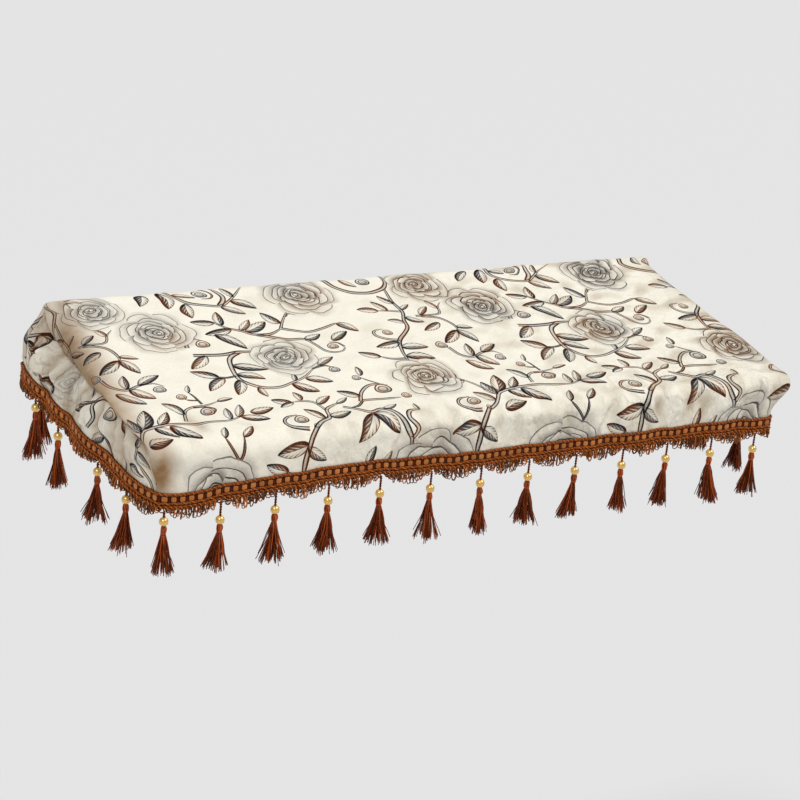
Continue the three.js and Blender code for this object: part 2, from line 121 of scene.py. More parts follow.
# The two ends: side, splay, lean of the front and back corners, arch of the hem, and swells.
Lean = namedtuple("Lean", "out start full")
Puff = namedtuple("Puff", "s z across up out")
End = namedtuple("End", "side splay front back arch puffs")
LEFT = End(-1, -4, Lean(-14, -40, BAND_TOP), Lean(25, 26, -22), -4, [
    Puff(0.5, -75, 0.7, 60, 8),
    Puff(0.88, -14, 0.1, 30, 16),
    Puff(0.79, -55, 0.04, 45, -7),
    Puff(0.61, -60, 0.05, 40, -6),
    Puff(0.46, -55, 0.05, 40, 4),
    Puff(0.3, -60, 0.05, 40, -5),
    Puff(0.13, -55, 0.05, 40, 4),
])
RIGHT = End(1, 7, Lean(-24, -45, BAND_TOP), Lean(-10, -20, BAND_TOP), 0, [
    Puff(0.06, -48, 0.1, 20, 10),
    Puff(0.5, -75, 0.7, 60, 8),
    Puff(0.9, -10, 0.09, 34, 16),
    Puff(0.68, -55, 0.05, 45, -6),
    Puff(0.35, -60, 0.06, 45, -6),
])

# Ramps: two values, where the change from one to the other starts, and how far it reaches.
Ramp = namedtuple("Ramp", "low high start reach")
WALL_FOLDS = Ramp(0, 1, -32, -30)
HEM_PULL = Ramp(0, 1, -40, -43)

# The front wall is smooth at the left and wrinkled from there to the right.
WALL_SLACK = (0.3, 1)
WALL_SLACK_LEFT = Ramp(0, 0.75, -330, 200)
WALL_SLACK_RIGHT = Ramp(0, 0.5, 0, 400)
TOP_SLACK = Ramp(0.1, 0.45, -100, 400)
SLACK_WALL = Ramp(0, 1, -12, -40)

# Unevenness of the cloth: height and length of its waves, how much they are drawn out down the
# walls, and a seed.
Wave = namedtuple("Wave", "height size draw seed")
TOP_WAVES = [Wave(0.5, 85, 1, 1), Wave(0.25, 34, 1, 2)]
WALL_WAVES = [Wave(0.7, 52, 0.35, 3), Wave(0.5, 27, 0.6, 4)]
PUCKERS = [Wave(1, 30, 0.4, 9)]
PUCKER_REACH = 24
WALL_RIPPLE = Ramp(0, 2.1, -18, -30)
CREASES_ABOVE_BRAID = Ramp(0, 1, BAND_TOP, 18)
CREASES_BEFORE_ROLL = Ramp(0, 1, LENGTH / 2 - 6, -30)

# Painted shade of the cloth: in the hollows of the wall ripples, over crumples of the top, strongest
# at the right, and in patches along the front edge.
SHADED_WALL = Ramp(0, 1, -16, -36)
HOLLOW = 0.06
HOLLOW_DEPTH = Ramp(0.75, 1.6, 0, 350)
HOLLOW_START = 0.02
HOLLOW_PER_WAVE = 0.13
HOLLOW_LIMITS = (-0.06, 0.35)
EDGE_SHADE_WAVES = [Wave(0.22, 40, 1, 32)]
EDGE_REACH = 20
EDGE_MOST = 0.3
TOP_SHADE_WAVES = [Wave(0.22, 46, 1, 33)]
TOP_SHADE_DEPTH = Ramp(0.15, 1, -120, 400)
TOP_SHADE_START = 0.02
TOP_SHADE_MOST = 0.4

# Small tucks of the cloth: where on the flat cloth, how far they reach, how deep, and how much
# painted tan shade they get.
Tuck = namedtuple("Tuck", "x y along across depth shade")
TUCKS = [
    Tuck(-458, -206, 15, 26, 3, 0.72),
    Tuck(-404, -128, 8, 14, 1.2, 0.45),
    Tuck(-396, -146, 7, 12, 1.2, 0.45),
]


def smooth(value):
    share = np.clip(value, 0, 1)
    return share * share * (3 - 2 * share)


def bump(distance, reach):
    return np.exp(-((distance / reach) ** 2))


def lerp(start, end, share):
    return start + (end - start) * share


def ramp(value, row):
    return lerp(row.low, row.high, smooth((value - row.start) / row.reach))


def unit(vectors):
    return vectors / np.linalg.norm(vectors, axis=-1, keepdims=True)


def waves(x, y, size, seed, count=8, lengths=(0.7, 1.5)):
    """A smooth uneven field of about unit height, from a few crossing waves."""
    chance = random.Random(seed)
    total = 0
    for _ in range(count):
        heading = chance.uniform(0, math.pi)
        length = size * chance.uniform(*lengths)
        walked = x * math.cos(heading) + y * math.sin(heading)
        total = total + np.sin(2 * math.pi * walked / length + chance.uniform(0, 2 * math.pi))
    return total / math.sqrt(count / 2)


def uneven(x, s, rows):
    return sum(row.height * waves(x, row.draw * s, row.size, row.seed) for row in rows)


def arc_centre(y, radius):
    return CLOTH + (y - radius * math.sin(SLOPE)) * math.tan(SLOPE) - radius * math.cos(SLOPE)


FRONT_Z = arc_centre(FRONT_ROUND - DEPTH / 2, FRONT_ROUND)
BACK_Z = arc_centre(DEPTH / 2 - BACK_ROUND, BACK_ROUND)
TOP_RUN = DEPTH - (FRONT_ROUND + BACK_ROUND) + (FRONT_ROUND - BACK_ROUND) * math.sin(SLOPE)
TOP_LENGTH = TOP_RUN / math.cos(SLOPE)

# Distances along the section at which its stretches end: wall, edge, top, edge, wall.
WALL_END, FRONT_END, TOP_END, BACK_END, SECTION_END = np.cumsum([
    FRONT_Z - HEM,
    FRONT_ROUND * (math.pi / 2 - SLOPE),
    TOP_LENGTH,
    BACK_ROUND * (math.pi / 2 + SLOPE),
    BACK_Z - HEM,
])
FRONT_CORNER = (WALL_END + FRONT_END) / 2
BACK_CORNER = (TOP_END + BACK_END) / 2
MIDDLE = FRONT_END + (DEPTH / 2 - FRONT_ROUND * (1 - math.sin(SLOPE))) / math.cos(SLOPE)


def section(s):
    """Y, Z and heading of the main panel's section at a distance from its front hem."""
    front = np.clip((s - WALL_END) / FRONT_ROUND, 0, math.pi / 2 - SLOPE)
    top = np.clip(s - FRONT_END, 0, TOP_LENGTH)
    back = np.clip((s - TOP_END) / BACK_ROUND, 0, math.pi / 2 + SLOPE)
    y = -DEPTH / 2 + FRONT_ROUND * (1 - np.cos(front)) + top * math.cos(SLOPE)
    y = y + BACK_ROUND * (math.sin(SLOPE) - np.sin(SLOPE - back))
    z = HEM + np.minimum(s, WALL_END) + FRONT_ROUND * np.sin(front) + top * math.sin(SLOPE)
    z = z + BACK_ROUND * (np.cos(SLOPE - back) - math.cos(SLOPE)) - np.maximum(s - BACK_END, 0)
    return y, z, math.pi / 2 - front - back


def rolled(y, column):
    """A column of the table of rolled ends, eased from row to row."""
    places = np.array([row.y for row in END_ROLL])
    sizes = np.array([getattr(row, column) for row in END_ROLL])
    after = np.clip(np.searchsorted(places, y), 1, len(places) - 1)
    share = smooth((y - places[after - 1]) / (places[after] - places[after - 1]))
    return lerp(sizes[after - 1], sizes[after], share)


def hem_shift(x, y):
    return sum(row.rise * bump(np.hypot(x - row.x, y - row.y), row.reach) for row in HEM_SHIFTS)


def end_lean(end, y, z):
    corners = (end.front, end.back)
    front, back = (row.out * smooth((row.start - z) / (row.start - row.full)) for row in corners)
    return end.side * lerp(front, back, y / DEPTH + 0.5)


def main_folds(x, y, z, near_end):
    """Folds of the walls, swells of the top and the pinch of the front edge, outwards."""
    wall = ramp(z, WALL_FOLDS) * lerp(1, BRAID_HOLD, ramp(z, HEM_PULL))
    front, back = (
        sum(row.out * bump(x - row.x, row.width) for row in folds)
        for folds in (FRONT_FOLDS, BACK_FOLDS)
    )
    on_top = smooth((DEPTH / 2 - SWELL_MARGIN - np.abs(y)) / SWELL_FADE)
    swell = sum(
        row.rise * bump(x - row.x, row.along) * bump(y - row.y, row.across) for row in TOP_SWELLS
    )
    edge_y, edge_z, _ = section(FRONT_CORNER)
    pinch = CORNER_PINCH * bump(np.hypot(y - edge_y, z - edge_z), PINCH_REACH)
    return np.where(y < 0, front, back) * wall + swell * on_top + pinch * near_end


def tucked(x, flat_y, column):
    """What the tucks come to at a place on the flat cloth, in one of their columns."""
    return sum(
        getattr(row, column) * bump(x - row.x, row.along) * bump(flat_y - row.y, row.across)
        for row in TUCKS
    )


def wall_slack(x):
    return lerp(*WALL_SLACK, ramp(x, WALL_SLACK_LEFT) + ramp(x, WALL_SLACK_RIGHT))


def main_slack(x, z):
    """How much the cloth is wrinkled: least at the left of the top."""
    return lerp(ramp(x, TOP_SLACK), wall_slack(x), ramp(z, SLACK_WALL))


def main_creases(x, s, z):
    """The fine unevenness of the cloth, which dies out behind the braid and at the rolls."""
    free = ramp(z, CREASES_ABOVE_BRAID) * ramp(np.abs(x), CREASES_BEFORE_ROLL)
    walls = wall_slack(x) * ramp(z, WALL_RIPPLE) * uneven(x, s, WALL_WAVES)
    puckers = wall_slack(x) * bump(s - FRONT_CORNER, PUCKER_REACH) * uneven(x, s, PUCKERS)
    return free * (uneven(x, s, TOP_WAVES) + walls + puckers - tucked(x, s - MIDDLE, "depth"))


def main_fold_shade(x, s, z):
    """How much painted shade the cloth gets in the hollows of its ripples, over the top's crumples
    and along its front edge, from 0 to 1.
    """
    hollows = np.clip(HOLLOW_START - HOLLOW_PER_WAVE * uneven(x, s, WALL_WAVES), *HOLLOW_LIMITS)
    hollows = HOLLOW + ramp(x, HOLLOW_DEPTH) * wall_slack(x) * hollows
    # Painted shade in patches along the front edge.
    edge = bump(s - FRONT_END, EDGE_REACH) * np.clip(uneven(x, s, EDGE_SHADE_WAVES), 0, EDGE_MOST)
    # Painted shade over the crumples of the top, deeper towards the right.
    top_shade = np.clip(uneven(x, s, TOP_SHADE_WAVES) - TOP_SHADE_START, 0, TOP_SHADE_MOST)
    top_shade = ramp(x, TOP_SHADE_DEPTH) * top_shade
    return np.maximum(lerp(top_shade, hollows, ramp(z, SHADED_WALL)), edge)


def main_point(reach, turn, s):
    """Points on the outer face of the main panel, by reach to the ends and turn under there."""
    y, z, heading = section(s)
    side = np.sign(reach)
    splay = np.where(side < 0, LEFT.splay, RIGHT.splay)
    half = LENGTH / 2 - splay * y / (DEPTH / 2)
    curl = rolled(y, "round")
    turn_at_seam = lerp(ROLL_TURN, HEM_TURN, ramp(z, HEM_PULL))
    angle = turn * turn_at_seam
    plain_x = reach * (half - curl) + side * curl * np.sin(angle)
    drop = rolled(y, "drop") * (1 - np.cos(angle)) / (1 - np.cos(turn_at_seam))
    near_end = smooth((np.abs(plain_x) - half + LEAN_REACH) / LEAN_REACH)
    lean = np.where(side < 0, end_lean(LEFT, y, z), end_lean(RIGHT, y, z))
    outwards = main_folds(plain_x, y, z, near_end) - drop + main_creases(plain_x, s, z)
    x = plain_x + near_end * lean
    lowered = ramp(z, HEM_PULL) * hem_shift(plain_x, y)
    out_y, out_z = -np.sin(heading), np.cos(heading)
    return np.stack([x, y + out_y * outwards, z + out_z * outwards + lowered], axis=-1)


def seam_point(end, s):
    """The main panel's edge at one end, a seam's gap further in."""
    edge = main_point(end.side * np.ones_like(s), 1.0, s)
    way = edge - main_point(end.side * np.ones_like(s), NEAR_SEAM, s)
    return edge + SEAM_GAP * unit(way)


# Rows of an end panel from its seam to its hem, and where they meet the main panel's section.
END_ROWS = (0, 2, 6, 7)
FRONT_STOPS = (FRONT_CORNER, WALL_END, BAND_TOP - HEM, 0)
BACK_STOPS = (BACK_CORNER, BACK_END, SECTION_END - (BAND_TOP - HEM), SECTION_END)
PUFF_FRONT = 0.08
PUFF_BACK = 0.06
PUFF_TOP = 0.3

# Folds that hang down the end panels and the crumple between them, fullest at the back.
END_FOLD = Wave(6.5, 66, 0.3, 5)
END_FOLD_SHARPNESS = 0.7
END_FOLD_LEVEL = 0.8
END_CREASES = Ramp(0, 1, 1, -0.25)
CRUMPLE = Wave(1, 24, 1, 8)
CRUMPLE_DEPTH = Ramp(1.2, 3.2, 0.6, 0.3)


def end_folds(end, y, z):
    """The folds of an end panel, sharp in their hollows."""
    field = waves(y, END_FOLD.draw * z, END_FOLD.size, END_FOLD.seed + end.side)
    return np.abs(field) ** END_FOLD_SHARPNESS - END_FOLD_LEVEL


def end_point(end, share, row):
    """Points on the outer face of an end panel: share from front to back, row from seam to hem."""
    def between(at_row, s):
        front = seam_point(end, np.interp(at_row, END_ROWS, FRONT_STOPS))
        back = seam_point(end, np.interp(at_row, END_ROWS, BACK_STOPS))
        return lerp(front, back, s[..., None])

    top = seam_point(end, lerp(FRONT_CORNER, BACK_CORNER, share))
    ends = (FRONT_CORNER, BACK_CORNER)
    front_y, back_y = (seam_point(end, np.full(1, stop))[0, 1] for stop in ends)
    s = (top[..., 1] - front_y) / (back_y - front_y)
    first = np.zeros_like(row)
    corners = between(first, s)
    point = between(row, s)
    height = corners[..., 2] - between(first + END_ROWS[2], s)[..., 2]
    down = np.minimum(1, (corners[..., 2] - point[..., 2]) / height)
    level = lerp(top[..., 2], BAND_TOP, down)
    edge = smooth(s / PUFF_FRONT) * smooth((1 - s) / PUFF_BACK) * smooth(down / PUFF_TOP)
    out = sum(
        puff.out * bump(s - puff.s, puff.across) * bump(level - puff.z, puff.up)
        for puff in end.puffs
    )
    y = point[..., 1]
    crumple = waves(y, level, CRUMPLE.size, CRUMPLE.seed + end.side)
    creases = END_FOLD.height * end_folds(end, y, level) + ramp(s, CRUMPLE_DEPTH) * crumple
    arch = end.arch * 4 * s * (1 - s) * smooth(down)
    point = point + (top - corners) * (1 - down)[..., None]
    point[..., 0] += end.side * (out + ramp(down, END_CREASES) * creases) * edge
    point[..., 2] += arch
    return point


# The printed design, on the flat cloth: X along the length from its middle, Y to the back
# from the middle of the top. A stem has points, half-widths at its two ends, leaves as base
# and tip, and round buds as middle and width.
REPEAT = 498
Stem = namedtuple("Stem", "points widths leaves buds", defaults=((), ()))
Rose = namedtuple("Rose", "x y radius turn")
ROSES = [
    Rose(-440, 142, 44, 0.3),
    Rose(-370, 76, 47, 1.9),
    Rose(-220, -8, 43, 3.4),
    Rose(-131, 141, 49, 5.0),
    Rose(-48, -90, 45, 0.9),
]
STEMS = [
    Stem([(-312, 178), (-304, 150), (-285, 136), (-258, 130), (-240, 140), (-222, 156), (-200, 174)],
         (2.6, 1.4),
         [(-303, 143, -308, 104), (-306, 168, -282, 154), (-256, 129, -228, 104),
          (-236, 143, -206, 117), (-228, 150, -231, 176), (-345, 172, -368, 144),
          (-322, 174, -331, 132)]),
    Stem([(-256, 131), (-243, 150), (-246, 178)], (3.2, 2.6)),
    Stem([(-262, 177), (-254, 163), (-262, 150), (-276, 150)], (1.4, 1.0), buds=[(-271, 161, 20)]),
    Stem([(-282, 91), (-268, 74), (-250, 62), (-238, 53), (-215, 50), (-195, 61)], (1.4, 2.6),
         [(-281, 90, -316, 96), (-274, 82, -269, 116), (-254, 65, -231, 90), (-247, 61, -209, 82),
          (-264, 71, -306, 64), (-292, 63, -261, 20)]),
    Stem([(-195, 61), (-184, 80), (-171, 96), (-160, 91)], (1.8, 1.0),
         [(-190, 74, -208, 106), (-177, 88, -170, 101)]),
    Stem([(-195, 61), (-165, 47), (-135, 53), (-112, 60), (-100, 53)], (2.2, 1.6),
         [(-112, 60, -86, 38)]),
    Stem([(-236, 52), (-215, 42), (-195, 32), (-173, 28), (-164, 12), (-158, -2), (-146, -10),
          (-132, -8), (-126, 3)], (2.4, 1.6),
         [(-174, 28, -145, 40), (-136, 20, -104, 40)], [(-142, 5, 17)]),
    Stem([(-126, 3), (-131, 14), (-143, 17)], (1.6, 1.0)),
    Stem([(-342, 35), (-339, 49), (-328, 55), (-317, 50)], (2.6, 1.2), buds=[(-318, 39, 21)]),
    Stem([(-342, 16), (-322, 11), (-300, 10), (-275, 14), (-252, 14)], (2.8, 2.6),
         [(-326, 11, -357, -17)]),
    Stem([(-278, 13), (-296, 0), (-302, -20), (-304, -45), (-297, -65), (-282, -78), (-260, -80),
          (-238, -73), (-215, -62), (-195, -45), (-181, -36)], (3.0, 1.4),
         [(-300, -17, -254, -35), (-302, -38, -269, -60), (-303, -52, -321, -89),
          (-287, -75, -284, -101), (-240, -75, -209, -99), (-232, -70, -227, -49),
          (-216, -66, -181, -80), (-184, -38, -154, -20)]),
    Stem([(-304, -42), (-320, -45), (-332, -41)], (1.6, 1.4),
         [(-328, -43, -362, -22), (-322, -45, -354, -74)]),
    Stem([(-196, -44), (-176, -40), (-165, -47)], (1.4, 1.0), buds=[(-167, -53, 17)]),
    Stem([(-484, 62), (-462, 60), (-445, 62), (-438, 80), (-428, 92)], (1.8, 1.2),
         [(-476, 63, -455, 83), (-440, 76, -452, 98)]),
    Stem([(-477, 60), (-452, 50), (-442, 35), (-440, 18), (-447, 14)], (2.0, 1.6),
         [(-443, 16, -476, -13), (-442, 17, -425, -19), (-440, 24, -415, 17), (-458, 39, -490, 23)]),
    Stem([(-478, -24), (-471, -42), (-455, -53), (-435, -45), (-417, -44), (-407, -54)], (2.2, 1.4),
         [(-452, -51, -447, -18), (-436, -45, -404, -25), (-449, -50, -426, -80),
          (-470, -60, -440, -89)], [(-415, -61, 17), (-485, -19, 19)]),
    Stem([(-375, -100), (-380, -84), (-384, -72)], (1.4, 1.0),
         [(-384, -74, -378, -57)], [(-396, -83, 14)]),
    Stem([(-378, -92), (-388, -91), (-394, -88)], (1.0, 1.0)),
    Stem([(-389, -106), (-372, -107), (-362, -115), (-368, -125)], (1.2, 1.0)),
    Stem([(-121, -94), (-134, -85), (-141, -77)], (1.0, 1.0)),
    Stem([(-405, -130), (-402, -113), (-390, -105), (-370, -103), (-350, -97)], (1.8, 1.2),
         [(-354, -98, -331, -95), (-403, -118, -425, -91)], [(-374, -119, 20)]),
    Stem([(-496, -178), (-484, -171), (-474, -158), (-464, -145), (-440, -138), (-415, -136),
          (-385, -140), (-355, -143), (-333, -135)], (2.2, 2.0),
         [(-464, -143, -450, -102), (-470, -150, -478, -116), (-442, -137, -424, -111),
          (-450, -141, -428, -168), (-430, -140, -401, -176), (-350, -141, -349, -115),
          (-340, -138, -328, -109), (-336, -137, -300, -150), (-320, -129, -286, -125),
          (-474, -181, -438, -172), (-480, -164, -502, -138)]),
    Stem([(-250, -179), (-238, -168), (-223, -160), (-219, -141), (-205, -132), (-191, -128)],
         (2.8, 1.6),
         [(-229, -163, -250, -136), (-222, -157, -188, -151), (-200, -130, -180, -119)]),
    Stem([(-220, -143), (-228, -124), (-245, -118), (-262, -118)], (1.8, 1.2),
         [(-258, -118, -284, -108), (-256, -119, -278, -128), (-244, -117, -247, -94),
          (-226, -128, -201, -111)]),
    Stem([(-195, -138), (-178, -148), (-163, -158), (-150, -156), (-138, -161), (-128, -176),
          (-122, -195), (-116, -208), (-115, -226)], (1.8, 3.4),
         [(-163, -161, -193, -206), (-162, -161, -133, -199), (-146, -157, -122, -148)]),
    Stem([(-116, -207), (-107, -194), (-117, -178), (-111, -165), (-96, -165)], (2.8, 2.6),
         [(-97, -165, -98, -149)]),
    Stem([(-163, -131), (-172, -140), (-184, -143)], (1.6, 1.4)),
    Stem([(-366, -222), (-354, -204), (-350, -190), (-348, -178)], (1.6, 1.4),
         [(-349, -180, -330, -160)]),
    Stem([(-357, -208), (-368, -190), (-374, -176)], (1.4, 1.2), [(-373, -179, -366, -158)]),
    Stem([(-176, -246), (-166, -246), (-154, -246)], (1.2, 1.2),
         [(-177, -242, -167, -213), (-156, -242, -142, -224)]),
    Stem([(-470, -150), (-484, -128), (-498, -108), (-512, -94)], (1.8, 1.2),
         [(-498, -108, -520, -112), (-506, -100, -508, -84)]),
    Stem([(-166, -132), (-156, -112), (-140, -98), (-122, -95), (-111, -100)], (2.2, 1.6),
         [(-160, -120, -188, -102)], [(-122, -109, 25), (-147, -78, 13)]),
    Stem([(-163, -130), (-135, -133), (-108, -133)], (2.0, 1.6),
         [(-139, -74, -136, -52)], [(-98, -130, 15)]),
    Stem([(-76, 178), (-69, 156), (-52, 138), (-30, 130), (-10, 135), (5, 144), (14, 160), (12, 180)],
         (3.0, 2.8),
         [(-52, 176, -36, 149)], [(-21, 161, 22)]),
    Stem([(3, 140), (-2, 104), (0, 76), (-8, 55), (-12, 36), (-25, 20), (-42, 2), (-50, -20),
          (-54, -48)], (1.6, 3.0),
         [(-2, 98, -19, 122), (-10, 48, -34, 57), (-44, -2, -84, -9), (-48, -14, -8, -21),
          (-52, -36, -12, -50), (0, 80, 18, 92), (-3, 62, 20, 44)]),
    Stem([(-1, 76), (-18, 81), (-36, 83)], (1.8, 1.4), [(-34, 83, -66, 90), (-20, 81, -36, 108)]),
    Stem([(-40, 3), (-58, 8), (-70, 19), (-67, 32), (-52, 34)], (2.2, 1.4), buds=[(-50, 23, 16)]),
    Stem([(-54, -42), (-75, -40), (-92, -31)], (2.0, 1.4), [(-88, -34, -114, -14)]),
]

# The sprig that hangs down the front wall, twice in each repeat, and the flowers of which only
# the upper petals show above the braid.
WALL_STEMS = [
    Stem([(-246, -175), (-257, -190), (-264, -210), (-268, -244)], (2.4, 3.6),
         [(-262, -198, -306, -208), (-264, -202, -236, -226)], [(-247, -175, 9)]),
    Stem([(-267, -240), (-282, -239), (-292, -231)], (2.0, 1.4), [(-288, -233, -320, -219)]),
    Stem([(-258, -178), (-279, -173), (-286, -161), (-278, -150), (-263, -148)], (2.4, 1.4),
         buds=[(-262, -160, 20)]),
]
WALL_ROSES = [
    Rose(-385, -258, 56, 0.6),
    Rose(-80, -258, 58, 2.2),
]

# Motifs of an end panel: X to the back, Y up.
END_STEMS = [
    Stem([(-174, -98), (-162, -74), (-148, -50), (-151, -28)], (1.8, 1.4),
         [(-150, -49, -173, -66), (-128, -76, -160, -80), (-147, -46, -156, -24)]),
    Stem([(-118, -92), (-120, -66), (-113, -45)], (1.6, 1.2), [(-114, -48, -100, -22)]),
    Stem([(-28, -64), (-39, -48), (-32, -33), (-40, -21), (-60, -18)], (1.2, 2.6),
         buds=[(-69, -33, 19)]),
    Stem([(-46, -56), (-49, -40), (-48, -30)], (1.8, 1.0)),
    Stem([(-86, -92), (-70, -76), (-58, -62), (-47, -50)], (1.6, 1.2), [(-60, -65, -32, -82)]),
    Stem([(4, -48), (-16, -37), (-40, -24)], (1.6, 1.4), [(-12, -38, 14, -56), (-18, -36, -8, -16)]),
    Stem([(124, -46), (118, -52), (110, -54)], (1.4, 1.0), [(118, -52, 78, -60)]),
    Stem([(178, -16), (162, -8), (146, -10)], (2.0, 1.4),
         [(166, -8, 136, -24), (172, -18, 150, -38), (150, -10, 128, 4)]),
]
END_ROSE = Rose(52, -34, 30, 0.4)

# Coordinates of the motifs are kept in layers, so that motifs that overlap don't share one.
LAYERS = {
    "rose": ("rose_a", "rose_b"),
    "leaf": ("leaf_a", "leaf_b", "leaf_c"),
    "stem": ("stem_a", "stem_b", "stem_c"),
}
FAR = 9.0
FACE_MARGIN = 0.6
PATH_STEP = 2.5
HALO = 1.35
# Roses print darker towards the right: partly their own tone, partly painted shade where the light
# falls off.
ROSE_DEPTH = Ramp(0.85, 1.3, -LENGTH / 2, LENGTH)
END_ROSE_DEPTH = 0.35
LEAF_BEND = 0.2
LEAF_WIDTHS = (0.4, 0.52)
LEAF_TONES = (0.6, 1)
BUD_TONE = 2.0
BUD_WIDTH = 0.95
STEM_WEIGHT = 1.4
STEM_TAPER = Ramp(1, 0.5, 0.7, 0.3)
STEM_TONES = (0.8, 1)
THIN_STEM = 1.7
THIN_STEM_TONE = 1.7
DESIGN_SEED = 11
END_DESIGN_SEED = 12

# The part of the design that is also on the back wall: lowest points of its stems, and shift.
BACK_LOWEST = (-188, -30)
BACK_SHIFT = 378


def eased_path(points):
    """A smooth line through a few points, as many short steps."""
    knots = np.array([points[0], *points, points[-1]], float)
    pieces = []
    for before, start, end, after in zip(knots, knots[1:], knots[2:], knots[3:]):
        count = max(2, int(np.linalg.norm(end - start) / PATH_STEP))
        t = np.linspace(0, 1, count, endpoint=False)[:, None]
        square = 2 * before - 5 * start + 4 * end - after
        cube = 3 * start - before - 3 * end + after
        pieces.append(start + ((end - before) * t + square * t ** 2 + cube * t ** 3) / 2)
    return np.concatenate([*pieces, knots[-1:]])


class Print:
    """The design on one sheet: each motif's own coordinates at the corners of its faces."""

    def __init__(self, mesh, flat):
        corner_of = np.empty(len(mesh.loops), int)
        mesh.loops.foreach_get("vertex_index", corner_of)
        self.mesh = mesh
        self.corners = flat[corner_of].reshape(-1, 4, 2)
        self.middles = self.corners.mean(axis=1)
        spread = np.linalg.norm(self.corners - self.middles[:, None], axis=-1)
        self.reach = spread.max(axis=1) + FACE_MARGIN
        names = [name for family in LAYERS.values() for name in family]
        self.values = {name: np.full((len(self.corners), 4, 3), FAR) for name in names}
        self.taken = {name: np.zeros(len(self.corners), bool) for name in names}

    def put(self, family, faces, values):
        """Writes a motif to the layer that is freest there, on the faces that are free."""
        if not len(faces):
            return
        overlaps = [self.taken[name][faces].sum() for name in LAYERS[family]]
        name = LAYERS[family][int(np.argmin(overlaps))]
        free = ~self.taken[name][faces]
        self.values[name][faces[free]] = np.stack(values, axis=-1)[free]
        self.taken[name][faces] = True

    def near(self, low, high):
        """Faces whose middle lies in a box, or close by."""
        above = self.middles > low - self.reach[:, None]
        below = self.middles < high + self.reach[:, None]
        return np.flatnonzero((above & below).all(axis=1))

    def rose(self, row, dx, dy, tone):
        middle = np.array([row.x + dx, row.y + dy])
        reach = HALO * row.radius
        faces = self.near(middle - reach, middle + reach)
        x, y = np.moveaxis((self.corners[faces] - middle) / row.radius, -1, 0)
        cos, sin = math.cos(row.turn), math.sin(row.turn)
        self.put("rose", faces, [x * cos - y * sin, x * sin + y * cos, np.full_like(x, tone)])

    def leaf(self, base, tip, width, tone):
        base, tip = np.array(base, float), np.array(tip, float)
        length = np.linalg.norm(tip - base)
        way = (tip - base) / length

        def local(points):
            return (points - base) @ way, (points - base) @ np.array([-way[1], way[0]])

        faces = self.near(np.minimum(base, tip) - width / 2, np.maximum(base, tip) + width / 2)
        along, across = local(self.middles[faces])
        reach = self.reach[faces]
        beside = np.abs(across) < width / 2 + reach
        faces = faces[(along > -reach) & (along < length + reach) & beside]
        along, across = local(self.corners[faces])
        share = along / length
        bend = LEAF_BEND * np.sign(tone) * np.sin(math.pi * np.clip(share, 0, 1))
        self.put("leaf", faces, [share, 2 * across / width + bend, np.full_like(along, tone)])

    def stem(self, points, widths, tone):
        path = eased_path(points)
        start, step = path[:-1], np.diff(path, axis=0)
        length = np.linalg.norm(step, axis=1)
        walked = np.concatenate([[0], np.cumsum(length)])

        def local(points):
            """Share along the path, running on past its ends, and distances across and away."""
            from_start = points[..., None, :] - start
            share = (from_start * step).sum(axis=-1) / length ** 2
            offset = from_start - np.clip(share, 0, 1)[..., None] * step
            squares = (offset ** 2).sum(axis=-1)
            nearest = np.argmin(squares, axis=-1)
            picked = np.take_along_axis(share, nearest[..., None], axis=-1)[..., 0]
            picked = np.where(nearest > 0, np.maximum(picked, 0), picked)
            picked = np.where(nearest < len(start) - 1, np.minimum(picked, 1), picked)
            way = step[nearest] / length[nearest][..., None]
            beside = points - start[nearest]
            across = way[..., 0] * beside[..., 1] - way[..., 1] * beside[..., 0]
            along = (walked[nearest] + picked * length[nearest]) / walked[-1]
            return along, across, np.sqrt(squares.min(axis=-1))

        most = max(widths)
        faces = self.near(path.min(axis=0) - most, path.max(axis=0) + most)
        if not len(faces):
            return
        _, _, distance = local(self.middles[faces])
        faces = faces[distance < most + self.reach[faces]]
        along, across, _ = local(self.corners[faces])
        width = lerp(*widths, np.clip(along, 0, 1)) * ramp(along, STEM_TAPER)
        self.put("stem", faces, [along, across / width, np.full_like(along, tone)])

    def spray(self, stems, dx, dy, chance):
        """Stems with their leaves and buds, moved over the cloth."""
        for row in stems:
            widths = [STEM_WEIGHT * width for width in row.widths]
            thin = max(row.widths) < THIN_STEM
            tone = chance.uniform(*STEM_TONES) * (THIN_STEM_TONE if thin else 1)
            self.stem([(x + dx, y + dy) for x, y in row.points], widths, tone)
            for x, y, tip_x, tip_y in row.leaves:
                base, tip = (x + dx, y + dy), (tip_x + dx, tip_y + dy)
                tone = chance.choice((-1, 1)) * chance.uniform(*LEAF_TONES)
                self.leaf(base, tip, chance.uniform(*LEAF_WIDTHS) * math.dist(base, tip), tone)
            for x, y, width in row.buds:
                base, tip = (x + dx + width / 2, y + dy), (x + dx - width / 2, y + dy)
                self.leaf(base, tip, BUD_WIDTH * width, BUD_TONE)

    def finish(self):
        for name, values in self.values.items():
            layer = self.mesh.attributes.new(name, "FLOAT_VECTOR", "CORNER")
            layer.data.foreach_set("vector", values.astype(np.float32).ravel())


